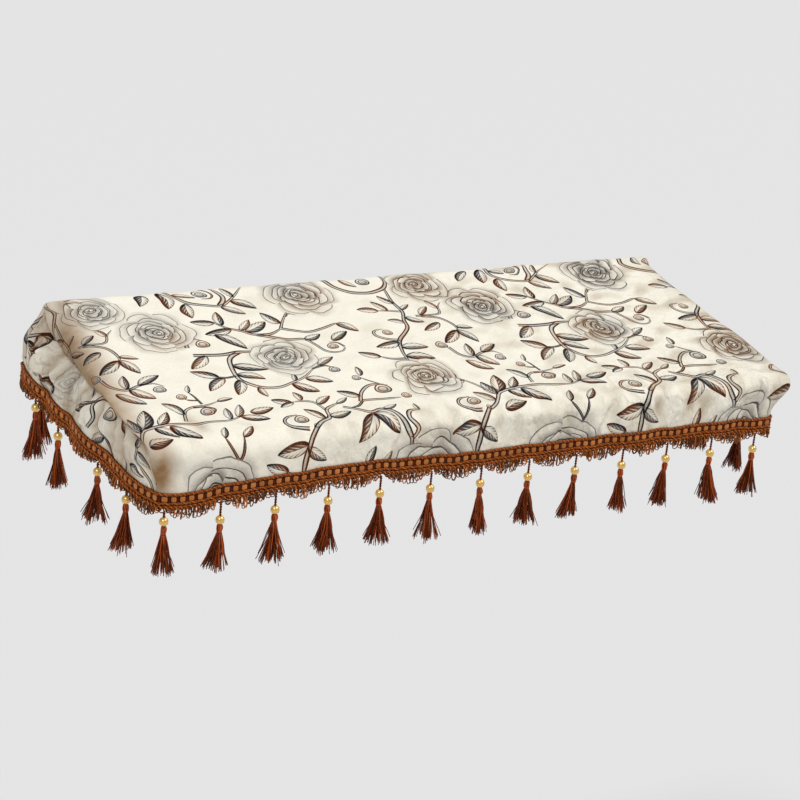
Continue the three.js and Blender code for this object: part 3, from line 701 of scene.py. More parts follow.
def main_design(sheet):
    """The design over the top and the front wall, and a shifted part of it on the back wall."""
    low = [row for row in STEMS if BACK_LOWEST[0] < min(y for _, y in row.points) < BACK_LOWEST[1]]
    for repeat in (-1, 0, 1):
        chance = random.Random(DESIGN_SEED)
        dx = repeat * REPEAT
        between = dx + REPEAT / 2
        for row in ROSES:
            sheet.rose(row, dx, 0, ramp(row.x + dx, ROSE_DEPTH))
        sheet.spray(STEMS, dx, 0, chance)
        for row in WALL_ROSES:
            sheet.rose(row, dx, 0, 1)
        sheet.spray(WALL_STEMS, dx, 0, chance)
        sheet.spray(WALL_STEMS, between, 0, chance)
        sheet.spray(low, between, BACK_SHIFT, chance)
        for row in ROSES[2:]:
            sheet.rose(row, between, BACK_SHIFT, 1)


def end_design(sheet):
    sheet.rose(END_ROSE, 0, 0, END_ROSE_DEPTH)
    sheet.spray(END_STEMS, 0, 0, random.Random(END_DESIGN_SEED))


class Value:
    """A number that varies over a surface, worked with as an expression."""

    def __init__(self, look, socket):
        self.look = look
        self.socket = socket

    def calc(self, operation, *others):
        return self.look.math(operation, self, *others)

    def __add__(self, other):
        return self.calc("ADD", other)

    def __sub__(self, other):
        return self.calc("SUBTRACT", other)

    def __rsub__(self, other):
        return self.look.math("SUBTRACT", other, self)

    def __mul__(self, other):
        return self.calc("MULTIPLY", other)

    def __pow__(self, other):
        return self.calc("POWER", other)

    def __abs__(self):
        return self.calc("ABSOLUTE")

    __radd__ = __add__
    __rmul__ = __mul__

    def most(self, other):
        return self.calc("MAXIMUM", other)

    def rise(self, low, high):
        """Eases from 0 at the low value to 1 at the high one."""
        inputs = {"Value": self, "From Min": low, "From Max": high}
        settings = {"interpolation_type": "SMOOTHSTEP"}
        return self.look.value("ShaderNodeMapRange", settings, inputs, "Result")


class Look:
    """A material with one main shader, its varying values made from nodes."""

    def __init__(self, name, **constants):
        self.material = bpy.data.materials.new(name)
        self.material.use_nodes = True
        self.tree = self.material.node_tree
        self.shader = self.tree.nodes["Principled BSDF"]
        self.surface(**constants)

    def node(self, kind, settings, inputs):
        made = self.tree.nodes.new(kind)
        for name, value in settings.items():
            setattr(made, name, value)
        for name, value in inputs.items():
            self.feed(made.inputs[name], value)
        return made

    def feed(self, socket, value):
        if isinstance(value, Value):
            self.tree.links.new(value.socket, socket)
        else:
            socket.default_value = value

    def surface(self, **values):
        for socket, value in values.items():
            self.feed(self.shader.inputs[socket.replace("_", " ")], value)

    def value(self, kind, settings, inputs, output=0):
        return Value(self, self.node(kind, settings, inputs).outputs[output])

    def math(self, operation, *values):
        return self.value("ShaderNodeMath", {"operation": operation}, dict(enumerate(values)))

    def mix(self, share, first, second):
        inputs = {0: share, 6: first, 7: second}
        return self.value("ShaderNodeMix", {"data_type": "RGBA"}, inputs, 2)

    def attribute(self, name, output="Fac"):
        return self.value("ShaderNodeAttribute", {"attribute_name": name}, {}, output)

    def apart(self, vector):
        """The three numbers of a vector."""
        made = self.node("ShaderNodeSeparateXYZ", {}, {0: vector})
        return [Value(self, socket) for socket in made.outputs]

    def noise(self, scale, detail=2.0, stretch=(1, 1, 1), output=0):
        place = self.value("ShaderNodeTexCoord", {}, {}, "Object")
        inputs = {0: place, 1: stretch}
        place = self.value("ShaderNodeVectorMath", {"operation": "MULTIPLY"}, inputs)
        inputs = {"Vector": place, "Scale": scale, "Detail": detail}
        return self.value("ShaderNodeTexNoise", {}, inputs, output)

    def spread(self, scale):
        """Three uneven numbers that don't follow one another."""
        return self.apart(self.noise(scale, 1.0, output="Color"))

    def bumped(self, height, distance, strength):
        inputs = {"Height": height, "Distance": distance, "Strength": strength}
        return self.value("ShaderNodeBump", {}, inputs, "Normal")


def colour(code):
    """A colour given as on the screen, for the shader."""
    parts = [int(code[at:at + 2], 16) / 255 for at in (0, 2, 4)]
    linear = [part / 12.92 if part <= 0.04045 else ((part + 0.055) / 1.055) ** 2.4 for part in parts]
    return (*linear, 1.0)


def leaf_ink(look, layer):
    """A leaf with a dark and a light half and strokes for its veins, or a round bud."""
    along, across, tone = look.apart(look.attribute(layer, "Vector"))
    side = abs(across)
    width = 2.6 * along ** 0.6 * (1 - along) ** 0.8
    inside = (width - side).rise(0, 0.12)
    outline = 1 - (width - side).rise(0.07, 0.22)
    rib = 1 - side.rise(0.02, 0.09)
    light = across.rise(-0.05, 0.05)
    stroke = look.math("PINGPONG", (along - 0.5 * side) * 5, 0.5).rise(0.26, 0.46)
    to_rim = (width - side).rise(0.1, 0.8)
    dark_half = (1 - light) * (0.95 - to_rim * (0.2 + 0.5 * stroke))
    light_half = light * (0.3 - 0.2 * to_rim + 0.6 * stroke * (1 - to_rim))
    ends = 0.4 * (1 - along.rise(0, 0.25)) + 0.4 * along.rise(0.78, 1)
    leaf = inside * (0.95 * outline).most(0.75 * rib).most(dark_half + light_half + ends)
    ring = (4 * (along - 0.5) * (along - 0.5) + across * across).calc("SQRT")
    disc = 1 - ring.rise(0.9, 1.02)
    swirl = 1 - abs(ring - 0.5 - 0.12 * across).rise(0.05, 0.16)
    bud = disc * (0.9 * ring.rise(0.7, 0.88)).most(0.6 * swirl).most(0.3 + 0.25 * across)
    is_bud = tone.rise(1.4, 1.6)
    strength = (0.4 + 0.6 * abs(tone)).calc("MINIMUM", 1)
    return (leaf * (1 - is_bud) + bud * is_bud) * strength


def stem_ink(look, layer):
    """A stem that is darker at its edges and on one side."""
    along, across, tone = look.apart(look.attribute(layer, "Vector"))
    side = abs(across)
    inside = (1 - side.rise(0.85, 1.1)) * along.rise(-0.01, 0.02) * (1 - along.rise(0.98, 1.01))
    return inside * (0.32 + 0.4 * across.rise(-0.2, 1) + 0.65 * side.rise(0.3, 0.7)) * tone


# Rings of petals of a rose, from its heart outwards: size, number of petals, turn, place of the
# middle, and strength of the line and of its shadow.
Ring = namedtuple("Ring", "radius petals turn x y line shadow")
RINGS = [
    Ring(0.06, 2, 0.1, 0.02, 0.03, 1.0, 1.0),
    Ring(0.14, 2, 0.6, -0.02, 0.03, 1.0, 1.0),
    Ring(0.22, 3, 0.2, 0.03, -0.03, 1.0, 1.0),
    Ring(0.31, 3, 0.75, -0.03, 0.03, 0.95, 1.0),
    Ring(0.42, 4, 0.35, 0.04, -0.02, 0.9, 1.0),
    Ring(0.55, 4, 0.9, -0.03, 0.03, 0.85, 0.95),
    Ring(0.73, 5, 0.15, 0.02, -0.02, 0.8, 0.85),
    Ring(0.96, 5, 0.5, 0.0, 0.0, 0.6, 0.6),
]


def rose_ink(look, layer):
    """The lines of a rose, its shading, and where it covers the cloth."""
    x, y, tone = look.apart(look.attribute(layer, "Vector"))
    wide, fine = look.spread(22.0), look.spread(75.0)
    x = x + 0.38 * (wide[0] - 0.5) + 0.06 * (fine[0] - 0.5)
    y = y + 0.38 * (wide[1] - 0.5) + 0.06 * (fine[1] - 0.5)
    lines = shading = 0 * x
    for ring in RINGS:
        dx, dy = x - ring.x, y - ring.y
        angle = look.math("ARCTAN2", dy, dx)
        turned = angle + 0.35 * (angle + 5 * ring.turn).calc("SINE")
        petal = (turned * (ring.petals / (2 * math.pi)) + ring.turn).calc("FRACT")
        curve = 0.17 * (petal * math.pi).calc("SINE") + 0.012 * (angle * 11).calc("SINE")
        edge = ring.radius * (0.84 + 0.18 * petal + curve)
        gap = (dx * dx + dy * dy).calc("SQRT") - edge
        line = (1 - abs(gap).rise(0.006, 0.022)) * (0.7 + 0.3 * petal)
        shadow = gap.rise(-0.005, 0.015) * (1 - gap.rise(0.0, 0.25)) * (1.15 - petal)
        lines = lines.most(line * ring.line)
        shading = shading.most(shadow * ring.shadow)
    covers = 1 - gap.rise(0.0, 0.03)
    return lines * tone, shading * tone, covers


def cloth_look():
    look = Look("printed cloth", Specular_IOR_Level=0.1)
    fine = look.noise(420.0, 2.0)
    crumple = look.noise(60.0, 3.0)
    crease = (1 - 11 * abs(look.noise(28.0, 3.0, (1, 1, 0.5)) - 0.5)).most(0)
    slack = look.attribute("slack")

    lines, shading, covers = zip(*[rose_ink(look, layer) for layer in LAYERS["rose"]])
    bare = (1 - covers[0]) * (1 - covers[1])
    inks = [stem_ink(look, layer) for layer in LAYERS["stem"]]
    inks += [leaf_ink(look, layer) for layer in LAYERS["leaf"]]
    ink = inks[0]
    for other in inks[1:]:
        ink = ink.most(other)
    ink = ink * (0.1 + 0.9 * bare) * (0.8 + 0.4 * fine)

    # The cream is darker in soft patches and in a fine speckle.
    patches = look.noise(13.0, 4.0).rise(0.48, 0.8)
    cream_unevenness = patches * 0.35 + 0.2 * fine.rise(0.4, 0.7)
    cream = look.mix(cream_unevenness, colour("F4EFE0"), colour("D5CBB6"))
    # Painted shade in the hollows of the ripples and folds and along fine crease lines.
    hollows = look.attribute("fold_shade") + 0.12 * slack * crease
    cloth = look.mix(hollows, cream, colour("A0875F"))
    # Painted tan shade where the cloth rolls under, in the tucks, below the end seams and in the end
    # panels' hollows, made uneven by the crumple noise.
    cloth = look.mix(look.attribute("shade") * (0.75 + 0.5 * crumple), cloth, colour("92704A"))

    pencil = look.mix(look.noise(7.0, 1.0).rise(0.42, 0.6), colour("7E7872"), colour("8E7258"))
    blush = (1 - bare) * 0.14 + shading[0].most(shading[1]) * (0.45 + 0.8 * fine)
    drawn = 1 - (1 - lines[0].most(lines[1]) * (0.75 + 0.5 * fine)) ** 2
    rosy = look.mix(drawn, look.mix(blush, cloth, pencil), colour("2C2422"))

    tan = look.noise(34.0, 1.0).rise(0.42, 0.6)
    foil = look.mix(tan, colour("8E8A86"), colour("A07E60"))
    strokes = look.mix(tan, colour("161010"), colour("4A200E"))
    silver = look.mix(ink.rise(0, 0.6), rosy, foil)
    printed = look.mix(ink.rise(0.32, 0.88), silver, strokes)

    wrinkles = slack * (look.noise(44.0, 3.0, (1, 1, 0.55)) - 0.2 * crease) + 0.12 * crumple
    normal = look.bumped(wrinkles, 0.011, 0.8)
    look.surface(Base_Color=printed, Roughness=0.5 + 0.2 * crumple, Normal=normal)
    return look.material


def yarn_look(name, dark, bright, roughness, fine):
    """Yarn or satin whose tone differs from strand to strand, from a dark to a bright colour; on the
    fringe and tassels the darkest and brightest strands also stand for painted shade and painted
    highlights.
    """
    look = Look(name, Specular_IOR_Level=0.12)
    tone = look.attribute("tone") * 0.7 + look.noise(fine) * 0.3
    look.surface(Base_Color=look.mix(tone, colour(dark), colour(bright)), Roughness=roughness)
    return look.material


MATERIALS = {
    "cloth": cloth_look(),
    "lining": Look("cloth underside", Base_Color=colour("E6DECB"), Roughness=0.85).material,
    "braid": yarn_look("braid yarn", "3A0E02", "C06A2A", 0.45, 300.0),
    "satin": yarn_look("satin ladder", "8E4A1E", "C47E44", 0.35, 200.0),
    "dark": yarn_look("dark bars", "2A0A02", "5C220A", 0.5, 300.0),
    "fringe": yarn_look("fringe yarn", "120300", "DC7E36", 0.4, 250.0),
    "tassel": yarn_look("tassel yarn", "140200", "D0602A", 0.42, 250.0),
    "pearl": Look(
        "gold pearl", Base_Color=colour("E6B860"), Metallic=0.5, Roughness=0.3,
        Specular_IOR_Level=0.9, Coat_Weight=1.0, Coat_Roughness=0.12,
    ).material,
}


def shape_mesh(name, build, **settings):
    """A mesh of a shape that build makes, not yet in an object."""
    shape = bmesh.new()
    build(shape, **settings)
    mesh = bpy.data.meshes.new(name)
    shape.to_mesh(mesh)
    shape.free()
    return mesh


def grid_mesh(name, columns, rows):
    create = bmesh.ops.create_grid
    return shape_mesh(name, create, x_segments=columns, y_segments=rows, size=1.0)


def points_of(mesh):
    points = np.empty((len(mesh.vertices), 3), np.float32)
    mesh.vertices.foreach_get("co", points.ravel())
    return points.astype(float)


def grid_places(mesh, columns, rows):
    """Which column and row of its grid each vertex is in."""
    plain = (points_of(mesh) + 1) / 2
    return np.rint(plain[:, 0] * columns).astype(int), np.rint(plain[:, 1] * rows).astype(int)


def move_to(mesh, points):
    mesh.vertices.foreach_set("co", (points * MM).astype(np.float32).ravel())


def add_numbers(mesh, name, values):
    layer = mesh.attributes.new(name, "FLOAT", "POINT")
    layer.data.foreach_set("value", values.astype(np.float32))


def add_object(name, data):
    made = bpy.data.objects.new(name, data)
    bpy.context.scene.collection.objects.link(made)
    return made


def piece_of(name, mesh, materials, slot, *replaced):
    """An object of the cover at the origin, shown in place of its solids."""
    made = add_object(name, mesh)
    for material in materials:
        mesh.materials.append(MATERIALS[material])
    mesh.polygons.foreach_set("use_smooth", np.ones(len(mesh.polygons), bool))
    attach(made, "root")
    if replaced:
        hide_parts(*replaced)
    return made


def even_rows(ends, counts):
    """Values from row to row, each stretch between two ends divided evenly."""
    stretches = zip(ends, ends[1:], counts)
    parts = [np.linspace(low, high, count, endpoint=False) for low, high, count in stretches]
    return np.concatenate([*parts, ends[-1:]])


def cloth_sheet(name, columns, rows, place, design, node):
    """A sheet of cloth over a grid: place gives points, flat place and tints of every vertex."""
    mesh = grid_mesh(name, columns, rows)
    points, flat, tints = place(*grid_places(mesh, columns, rows))
    move_to(mesh, points)
    for tint, values in tints.items():
        add_numbers(mesh, tint, np.clip(values, 0, 1))
    sheet = Print(mesh, flat)
    design(sheet)
    sheet.finish()
    made = piece_of(name, mesh, ("cloth", "lining"), "cloth", node)
    thick = made.modifiers.new("thickness", "SOLIDIFY")
    thick.thickness = CLOTH * MM
    thick.offset = -1
    thick.material_offset = 1
    return made


# Grids of the sheets, and painted shade: tan where the cloth is turned under or sewn in, and tan and
# darker in the hollows of the end panels' folds.
ROLL_COLUMNS = 10
FLAT_COLUMNS = 206
SECTION_STOPS = (0, WALL_END, FRONT_END, TOP_END, BACK_END, SECTION_END)
SECTION_ROWS = even_rows(SECTION_STOPS, (12, 8, 78, 7, 28))
END_COLUMNS = 78
END_STEPS = even_rows(END_ROWS, (7, 20, 6))
PRINT_HALF = 463
ROLL_SHADE = Ramp(0, 1, 436, 54)
LEFT_ROLL_FRONT = Ramp(0.65, 0.85, -150, 100)
LEFT_ROLL_BACK = Ramp(1, 0.5, 90, 70)
RIGHT_ROLL = 0.3
END_SHADE = Ramp(0.36, 0.06, 0, 0.5)
SEAM_SHADE = Ramp(0, 0.5, 2.2, -2.2)
END_HOLLOW_START = 0.02
END_HOLLOW_PER_FOLD = 0.6
END_HOLLOW_MOST = 0.5


def place_main(column, row):
    rolls = np.linspace(0, 1, ROLL_COLUMNS + 1)
    ends = np.ones(ROLL_COLUMNS)
    turn = np.concatenate([rolls[::-1], np.zeros(FLAT_COLUMNS - 1), rolls])[column]
    reach = np.concatenate([-ends, np.linspace(-1, 1, FLAT_COLUMNS + 1), ends])[column]
    s = SECTION_ROWS[row]
    y, z, _ = section(s)
    points = main_point(reach, turn, s)
    x = points[:, 0]
    around = rolled(y, "round") * turn * ROLL_TURN
    flat = np.stack([reach * PRINT_HALF + np.sign(reach) * around, s - MIDDLE], axis=-1)
    # Painted tan shade under the rolled ends, strongest at the left, and in the tucks; painted shade
    # in the hollows of the ripples.
    on_left = ramp(y, LEFT_ROLL_FRONT) * ramp(y, LEFT_ROLL_BACK)
    under = np.where(reach < 0, on_left, RIGHT_ROLL) * ramp(np.abs(flat[:, 0]), ROLL_SHADE)
    tints = {
        "shade": under + tucked(x, flat[:, 1], "shade"),
        "fold_shade": main_fold_shade(x, s, z),
        "slack": main_slack(x, z),
    }
    return points, flat, tints


def place_end(end):
    def place(column, row):
        share = column / END_COLUMNS
        step = END_STEPS[::-1][row]
        points = end_point(end, 1 - share if end.side < 0 else share, step)
        flat = points[:, 1:]
        folds = end_folds(end, *flat.T)
        # Painted shade: tan in the hollows of the folds and just below the seam, and darker in those
        # hollows.
        tints = {
            "shade": ramp(folds, END_SHADE) + ramp(step, SEAM_SHADE),
            "fold_shade": np.clip(END_HOLLOW_START - END_HOLLOW_PER_FOLD * folds, 0, END_HOLLOW_MOST),
            "slack": np.ones(len(points)),
        }
        return points, flat, tints
    return place


main_cloth = cloth_sheet(
    "main_cloth", FLAT_COLUMNS + 2 * ROLL_COLUMNS, len(SECTION_ROWS) - 1,
    place_main, main_design, "main_panel",
)
end_cloths = [
    cloth_sheet(name, END_COLUMNS, len(END_STEPS) - 1, place_end(end), end_design, node)
    for name, end, node in (
        ("left_cloth", LEFT, "end_panel_left"),
        ("right_cloth", RIGHT, "end_panel_right"),
    )
]


# Trim: braid, looped fringe and tassels, from copies of small shapes.
def ball_mesh(around, rings):
    create = bmesh.ops.create_uvsphere
    return shape_mesh("ball", create, u_segments=around, v_segments=rings, radius=1.0)


def add_block(shape, bevel):
    bmesh.ops.create_cube(shape, size=2.0)
    bmesh.ops.bevel(
        shape, geom=shape.edges[:], offset=bevel, affect="EDGES",
        segments=1, profile=0.5, material=-1,
    )


def add_tube(shape, rings, sides):
    """A tube along Z, with its rings one apart."""
    bmesh.ops.create_circle(shape, segments=sides, radius=1.0)
    edges = shape.edges[:]
    for _ in range(rings - 1):
        grown = bmesh.ops.extrude_edge_only(shape, edges=edges)["geom"]
        fresh = [item for item in grown if isinstance(item, bmesh.types.BMVert)]
        bmesh.ops.translate(shape, verts=fresh, vec=(0, 0, 1))
        edges = [item for item in grown if isinstance(item, bmesh.types.BMEdge)]
    bmesh.ops.holes_fill(shape, edges=shape.edges[:], sides=sides)
    bmesh.ops.recalc_face_normals(shape, faces=shape.faces[:])


def tube_mesh(rings, sides):
    return shape_mesh("tube", add_tube, rings=rings, sides=sides)


def tube_points(mesh, paths, radii, beside):
    """Points of round strands: paths by strand and ring, and a direction that no path takes."""
    way = np.gradient(paths, axis=1)
    first = unit(np.cross(way, np.broadcast_to(beside, way.shape)))
    second = unit(np.cross(way, first))
    plain = points_of(mesh)
    ring = np.rint(plain[:, 2]).astype(int)
    around = plain[:, :1] * first[:, ring] + plain[:, 1:2] * second[:, ring]
    return paths[:, ring] + np.broadcast_to(radii, paths.shape[:2])[:, ring, None] * around


class Trim:
    """An object put together from copies of small shapes, each copy with points of its own."""

    def __init__(self):
        self.parts = []

    def add(self, mesh, points, material, tone):
        copies = points.reshape(-1, len(mesh.vertices), 3)
        self.parts.append((mesh, copies, material, np.broadcast_to(tone, len(copies))))

    def add_tubes(self, mesh, paths, radii, beside, tone):
        self.add(mesh, tube_points(mesh, paths, radii, beside), 0, tone)

    def build(self, shape):
        for mesh, copies, _, _ in self.parts:
            for _ in range(len(copies)):
                shape.from_mesh(mesh)

    def finish(self, name, materials, slot, *replaced, at=(0, 0, 0)):
        made = shape_mesh(name, self.build)
        points, tones, used = [], [], []
        for mesh, copies, material, tone in self.parts:
            points.append(copies.reshape(-1, 3))
            tones.append(np.repeat(tone, len(mesh.vertices)))
            used.append(np.full(len(copies) * len(mesh.polygons), material))
        move_to(made, np.concatenate(points) + at)
        add_numbers(made, "tone", np.concatenate(tones))
        piece = piece_of(name, made, materials, slot, *replaced)
        made.polygons.foreach_set("material_index", np.concatenate(used))
        return piece


def at_distance(distance, even, line):
    """Points at distances along a line."""
    return np.stack([np.interp(distance, even, axis) for axis in line.T], axis=-1)


HEM_TURNS = 8
HEM_POINTS = 401
HEM_END_POINTS = 161
HEM_STEP = 2.0
CORNER_STEPS = 3


def hem_loop():
    """The hem's outer line once round the cover at even steps, and the level way out from it."""
    turns = np.linspace(0, 1, HEM_TURNS + 1)[1:]
    ends = np.ones(HEM_TURNS)
    reach = np.concatenate([-ends, np.linspace(-1, 1, HEM_POINTS), ends])
    turn = np.concatenate([turns[::-1], np.zeros(HEM_POINTS), turns])
    share = np.linspace(0, 1, HEM_END_POINTS)
    hem_row = np.full(HEM_END_POINTS, float(END_ROWS[-1]))
    loop = np.concatenate([
        main_point(reach, turn, np.zeros_like(reach)),
        end_point(RIGHT, share, hem_row),
        main_point(reach, turn, np.full_like(reach, SECTION_END))[::-1],
        end_point(LEFT, share[::-1], hem_row),
    ])
    loop = np.concatenate([loop, loop[:1]])
    walked = np.concatenate([[0], np.cumsum(np.linalg.norm(np.diff(loop, axis=0), axis=1))])
    even = np.linspace(0, walked[-1], int(walked[-1] / HEM_STEP) + 1)
    line = at_distance(even, walked, loop)
    ahead = np.diff(line, axis=0)
    outward = unit(np.stack([ahead[:, 1], -ahead[:, 0]], axis=-1))
    shifts = range(-CORNER_STEPS, CORNER_STEPS + 1)
    eased = sum(np.roll(outward, shift, axis=0) for shift in shifts)
    eased = unit((eased + np.roll(eased, 1, axis=0)) / 2)
    return even, line, np.concatenate([eased, eased[:1]])


hem_even, hem_line, hem_out = hem_loop()
HEM_LENGTH = hem_even[-1]

# The braid is sewn on in shallow waves: their height, how many go round the hem, and a start.
BRAID_WAVES = [(0.5, 37, 0), (0.4, 61, 1)]


def on_braid(flat):
    """Points in place round the hem: distance along, distance out, height from the braid's top."""
    distance = np.mod(flat[..., 0], HEM_LENGTH)
    lap = 2 * math.pi * distance / HEM_LENGTH
    at = at_distance(distance, hem_even, hem_line)
    at[..., :2] += at_distance(distance, hem_even, hem_out) * (flat[..., 1:2] + SEWN_GAP)
    at[..., 2] += flat[..., 2] + BRAID_TOP - HEM
    for height, count, start in BRAID_WAVES:
        at[..., 2] += height * np.sin(count * lap + start)
    return at


def way_out(flat):
    return on_braid(flat + (0, 1, 0)) - on_braid(flat)


# Flat band of the braid: distance out and height, round its section.
BAND = [
    (0, -0.6), (0, -21.5), (1.2, -21.5), (1.4, -18.5), (1.0, -15), (1.0, -6), (1.3, -3), (1.0, -0.6),
]
BAND_TONE = 0.3

# Cords of the braid, each a pair that winds over and under: length of a wave, radius, place out
# and up, half height and depth of the waves, and tones of the two.
Cord = namedtuple("Cord", "pitch radius out up height depth tones")
BRAID_CORDS = [
    Cord(5.9, 0.85, 1.9, -2.2, 1.4, 0.7, (0.9, 0.3)),
    Cord(11.7, 0.9, 1.8, -14.2, 1.3, 0.4, (0.9, 0.35)),
    Cord(6.4, 0.95, 1.9, -18.9, 1.4, 0.8, (1.0, 0.15)),
]
BRAID_SEED = 21
CORD_RINGS = 7
CORD_SIDES = 4
CORD_UNEVEN = 0.2

# Satin blocks and dark bars of the ladder between the cords: half sizes, place out, where in
# the pitch they start, material, and the darkest tone.
Rung = namedtuple("Rung", "mesh size out start material dark")
RUNGS = [
    Rung(shape_mesh("block", add_block, bevel=0.3), (3.3, 1.2, 3.3), 1.6, 0, 1, 0.2),
    Rung(ball_mesh(6, 4), (2.0, 1.1, 4.2), 1.3, 0.5, 2, 0.3),
]
LADDER_PITCH = 11.7
LADDER_UP = -8.3
# Keeps the last column of the band from being taken round to the first.
SHORT_OF_END = 0.999999


def make_braid():
    chance = np.random.default_rng(BRAID_SEED)
    trim = Trim()
    steps = len(hem_even) - 1
    band = grid_mesh("band", steps, len(BAND))
    distance = (points_of(band)[:, 0] + 1) / 2 * HEM_LENGTH * SHORT_OF_END
    _, corner = grid_places(band, steps, len(BAND))
    section_points = np.array(BAND)[corner % len(BAND)]
    trim.add(band, on_braid(np.column_stack([distance, section_points])), 2, BAND_TONE)

    tube = tube_mesh(CORD_RINGS, CORD_SIDES)
    t = np.linspace(0, 1, CORD_RINGS)
    for cord in BRAID_CORDS:
        count = int(HEM_LENGTH / cord.pitch)
        along = (np.arange(count)[:, None] + t) * HEM_LENGTH / count
        for phase, tone in zip((0, math.pi), cord.tones):
            turn = np.broadcast_to(2 * math.pi * t + phase, along.shape)
            out, up = cord.out + cord.depth * np.sin(turn), cord.up + cord.height * np.cos(turn)
            flat = np.stack([along, out, up], axis=-1)
            tones = tone + chance.uniform(-CORD_UNEVEN, CORD_UNEVEN, count)
            trim.add_tubes(tube, on_braid(flat), cord.radius, way_out(flat), tones)

    count = int(HEM_LENGTH / LADDER_PITCH)
    for rung in RUNGS:
        along = (np.arange(count) + rung.start) * HEM_LENGTH / count
        middle = np.stack([along, np.full(count, rung.out), np.full(count, LADDER_UP)], axis=-1)
        points = on_braid(points_of(rung.mesh) * rung.size + middle[:, None])
        trim.add(rung.mesh, points, rung.material, chance.uniform(rung.dark, 1, count))
    return trim.finish("hem_braid", ("braid", "satin", "dark"), "braid", "braid")


TOP_SLICE = 0.05


def tassel_tops():
    """Where each tassel hangs, from the top of its solid."""
    tops = {}
    for name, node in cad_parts.items():
        if name.startswith("tassel"):
            points = points_of(node.data) / MM
            tops[name] = points[points[:, 2] > points[:, 2].max() - TOP_SLICE].mean(axis=0)
    return tops


# Layers of the fringe: distance from loop to loop, lengths of the loops at the ends and in the
# middle of a scallop, distance out, and how bright the yarn is.
Layer = namedtuple("Layer", "pitch short long out tone")
# The short layer behind is darker, as painted shade between the loops.
LOOP_LAYERS = [Layer(2.8, 3.5, 11, 0.7, 0.35), Layer(3.6, 5, 17, 1.7, 1.0)]
FRINGE_SEED = 22
LOOP_RINGS = 10
LOOP_SIDES = 3
LOOP_RADIUS = 0.85
LOOP_TOP = -19.5
LOOP_ASIDE = (0.01, 0.02, 0)
LOOP_NECK = 0.35
LOOP_BULGE = 0.85
# Most loops are dark and a few bright: partly the yarn's own uneven tone, partly painted shade and
# highlights.
LOOP_DARKNESS = 2.2
SCALLOP_FULLNESS = 0.9
TASSEL_ROOM = 5


def make_fringe(tops):
    """Loops of yarn in scallops between the tassels, in a short and a long layer."""
    chance = np.random.default_rng(FRINGE_SEED)
    loop = tube_mesh(LOOP_RINGS, LOOP_SIDES)
    sweep = np.linspace(0, 2 * math.pi, LOOP_RINGS)
    down = (1 - np.cos(sweep)) / 2
    line = hem_line[:-1, :2]
    hangs = [np.argmin(np.linalg.norm(line - top[:2], axis=1)) for top in tops.values()]
    hangs = np.sort(hem_even[hangs])
    trim = Trim()
    for start, end in zip(hangs, np.append(hangs[1:], hangs[0] + HEM_LENGTH)):
        room = end - start - TASSEL_ROOM
        for layer in LOOP_LAYERS:
            count = int(room / layer.pitch)
            each = (count, 1)
            share = ((np.arange(count) + 0.5) / count)[:, None]
            middle = start + TASSEL_ROOM / 2 + share * room + chance.uniform(-1, 1, each)
            length = lerp(layer.short, layer.long, np.sin(math.pi * share) ** SCALLOP_FULLNESS)
            length = length * chance.uniform(0.78, 1.1, each)
            half = chance.uniform(2.4, 3.8, each)
            twist = chance.uniform(-0.9, 0.9, each)
            lean = chance.normal(0, 1.8, each)
            curl = chance.uniform(-0.8, 1.6, each)
            across = half * np.sin(sweep) * (LOOP_NECK + LOOP_BULGE * down)
            flat = np.stack([
                middle + across * np.cos(twist) + lean * down,
                layer.out + across * np.sin(twist) + curl * down,
                LOOP_TOP - length * down,
            ], axis=-1)
            tones = layer.tone * chance.uniform(0, 1, count) ** LOOP_DARKNESS
            trim.add_tubes(loop, on_braid(flat), LOOP_RADIUS, way_out(flat) + LOOP_ASIDE, tones)
    return trim.finish("loop_fringe", ("fringe",), "braid")


# Tassels from the top down: a cord of two plies, a bead, a head of a few yarns tied at its
# lower end, and a skirt of strands that hang in clumps.
TASSEL_SEED = 100
PLY_RINGS = 12
CORD_TUBE = tube_mesh(PLY_RINGS, 4)
STRAND_RINGS = 6
STRAND_TUBE = tube_mesh(STRAND_RINGS, 3)
BEAD_BALL = ball_mesh(16, 10)
LONG_CORD = 18
PLY_TOP = 0.2
PLY_IN_BEAD = 1
PLY_PITCH = 7
PLY_OUT = 0.8
PLY_RADIUS = 1.1
PLY_TONES = (0.0, 0.15)
BEAD = 6.0
HEAD_START = 5.0
HEAD_END = 17.0
HEAD_YARNS = 9
HEAD_YARN_RADIUS = 1.2
HEAD_NECK = 1.3
HEAD_BULGE = 1.7
HEAD_FULLNESS = 0.8
HEAD_FLARE = 0.6
TIE_HEIGHTS = (0.2, 1.4, 2.6)
TIE_TONES = (0.3, 0.9, 0.5)
TIE_OUT = 2.7
TIE_RADIUS = 0.8
STRANDS = 130
CLUMPS = 16
CLUMP_SCATTER = 1.9
SKIRT_SWAY = 1.8
SKIRT_IN_HEAD = 1.5
SKIRT_FLARE = 1.25
ROOT_SHARE = 0.3
ROOT_RADIUS = 2.4
STRAND_WAVE = 0.9
STRAND_BENDS = 1.5
STRAND_RADII = (0.75, 0.55)
# Most strands are dark and a few bright: partly the yarn's own uneven tone, partly painted
# highlights.
STRAND_DARKNESS = 3.5

# Tassels on shorter cords: where they hang, and the length of the cord.
Hang = namedtuple("Hang", "x y cord")
SHORT_CORDS = [
    Hang(-460, -187, 8),
    Hang(-506, 122, 7),
    Hang(-500, 57, 13),
    Hang(-490, -50, 7),
    Hang(-478, -125, 7),
]
HANG_NEAR = 30

# Kinds of skirt: length below the head, and radius at its end.
Skirt = namedtuple("Skirt", "length radius")
SKIRTS = [Skirt(52, 14.5), Skirt(50, 16.5), Skirt(53, 15.5)]


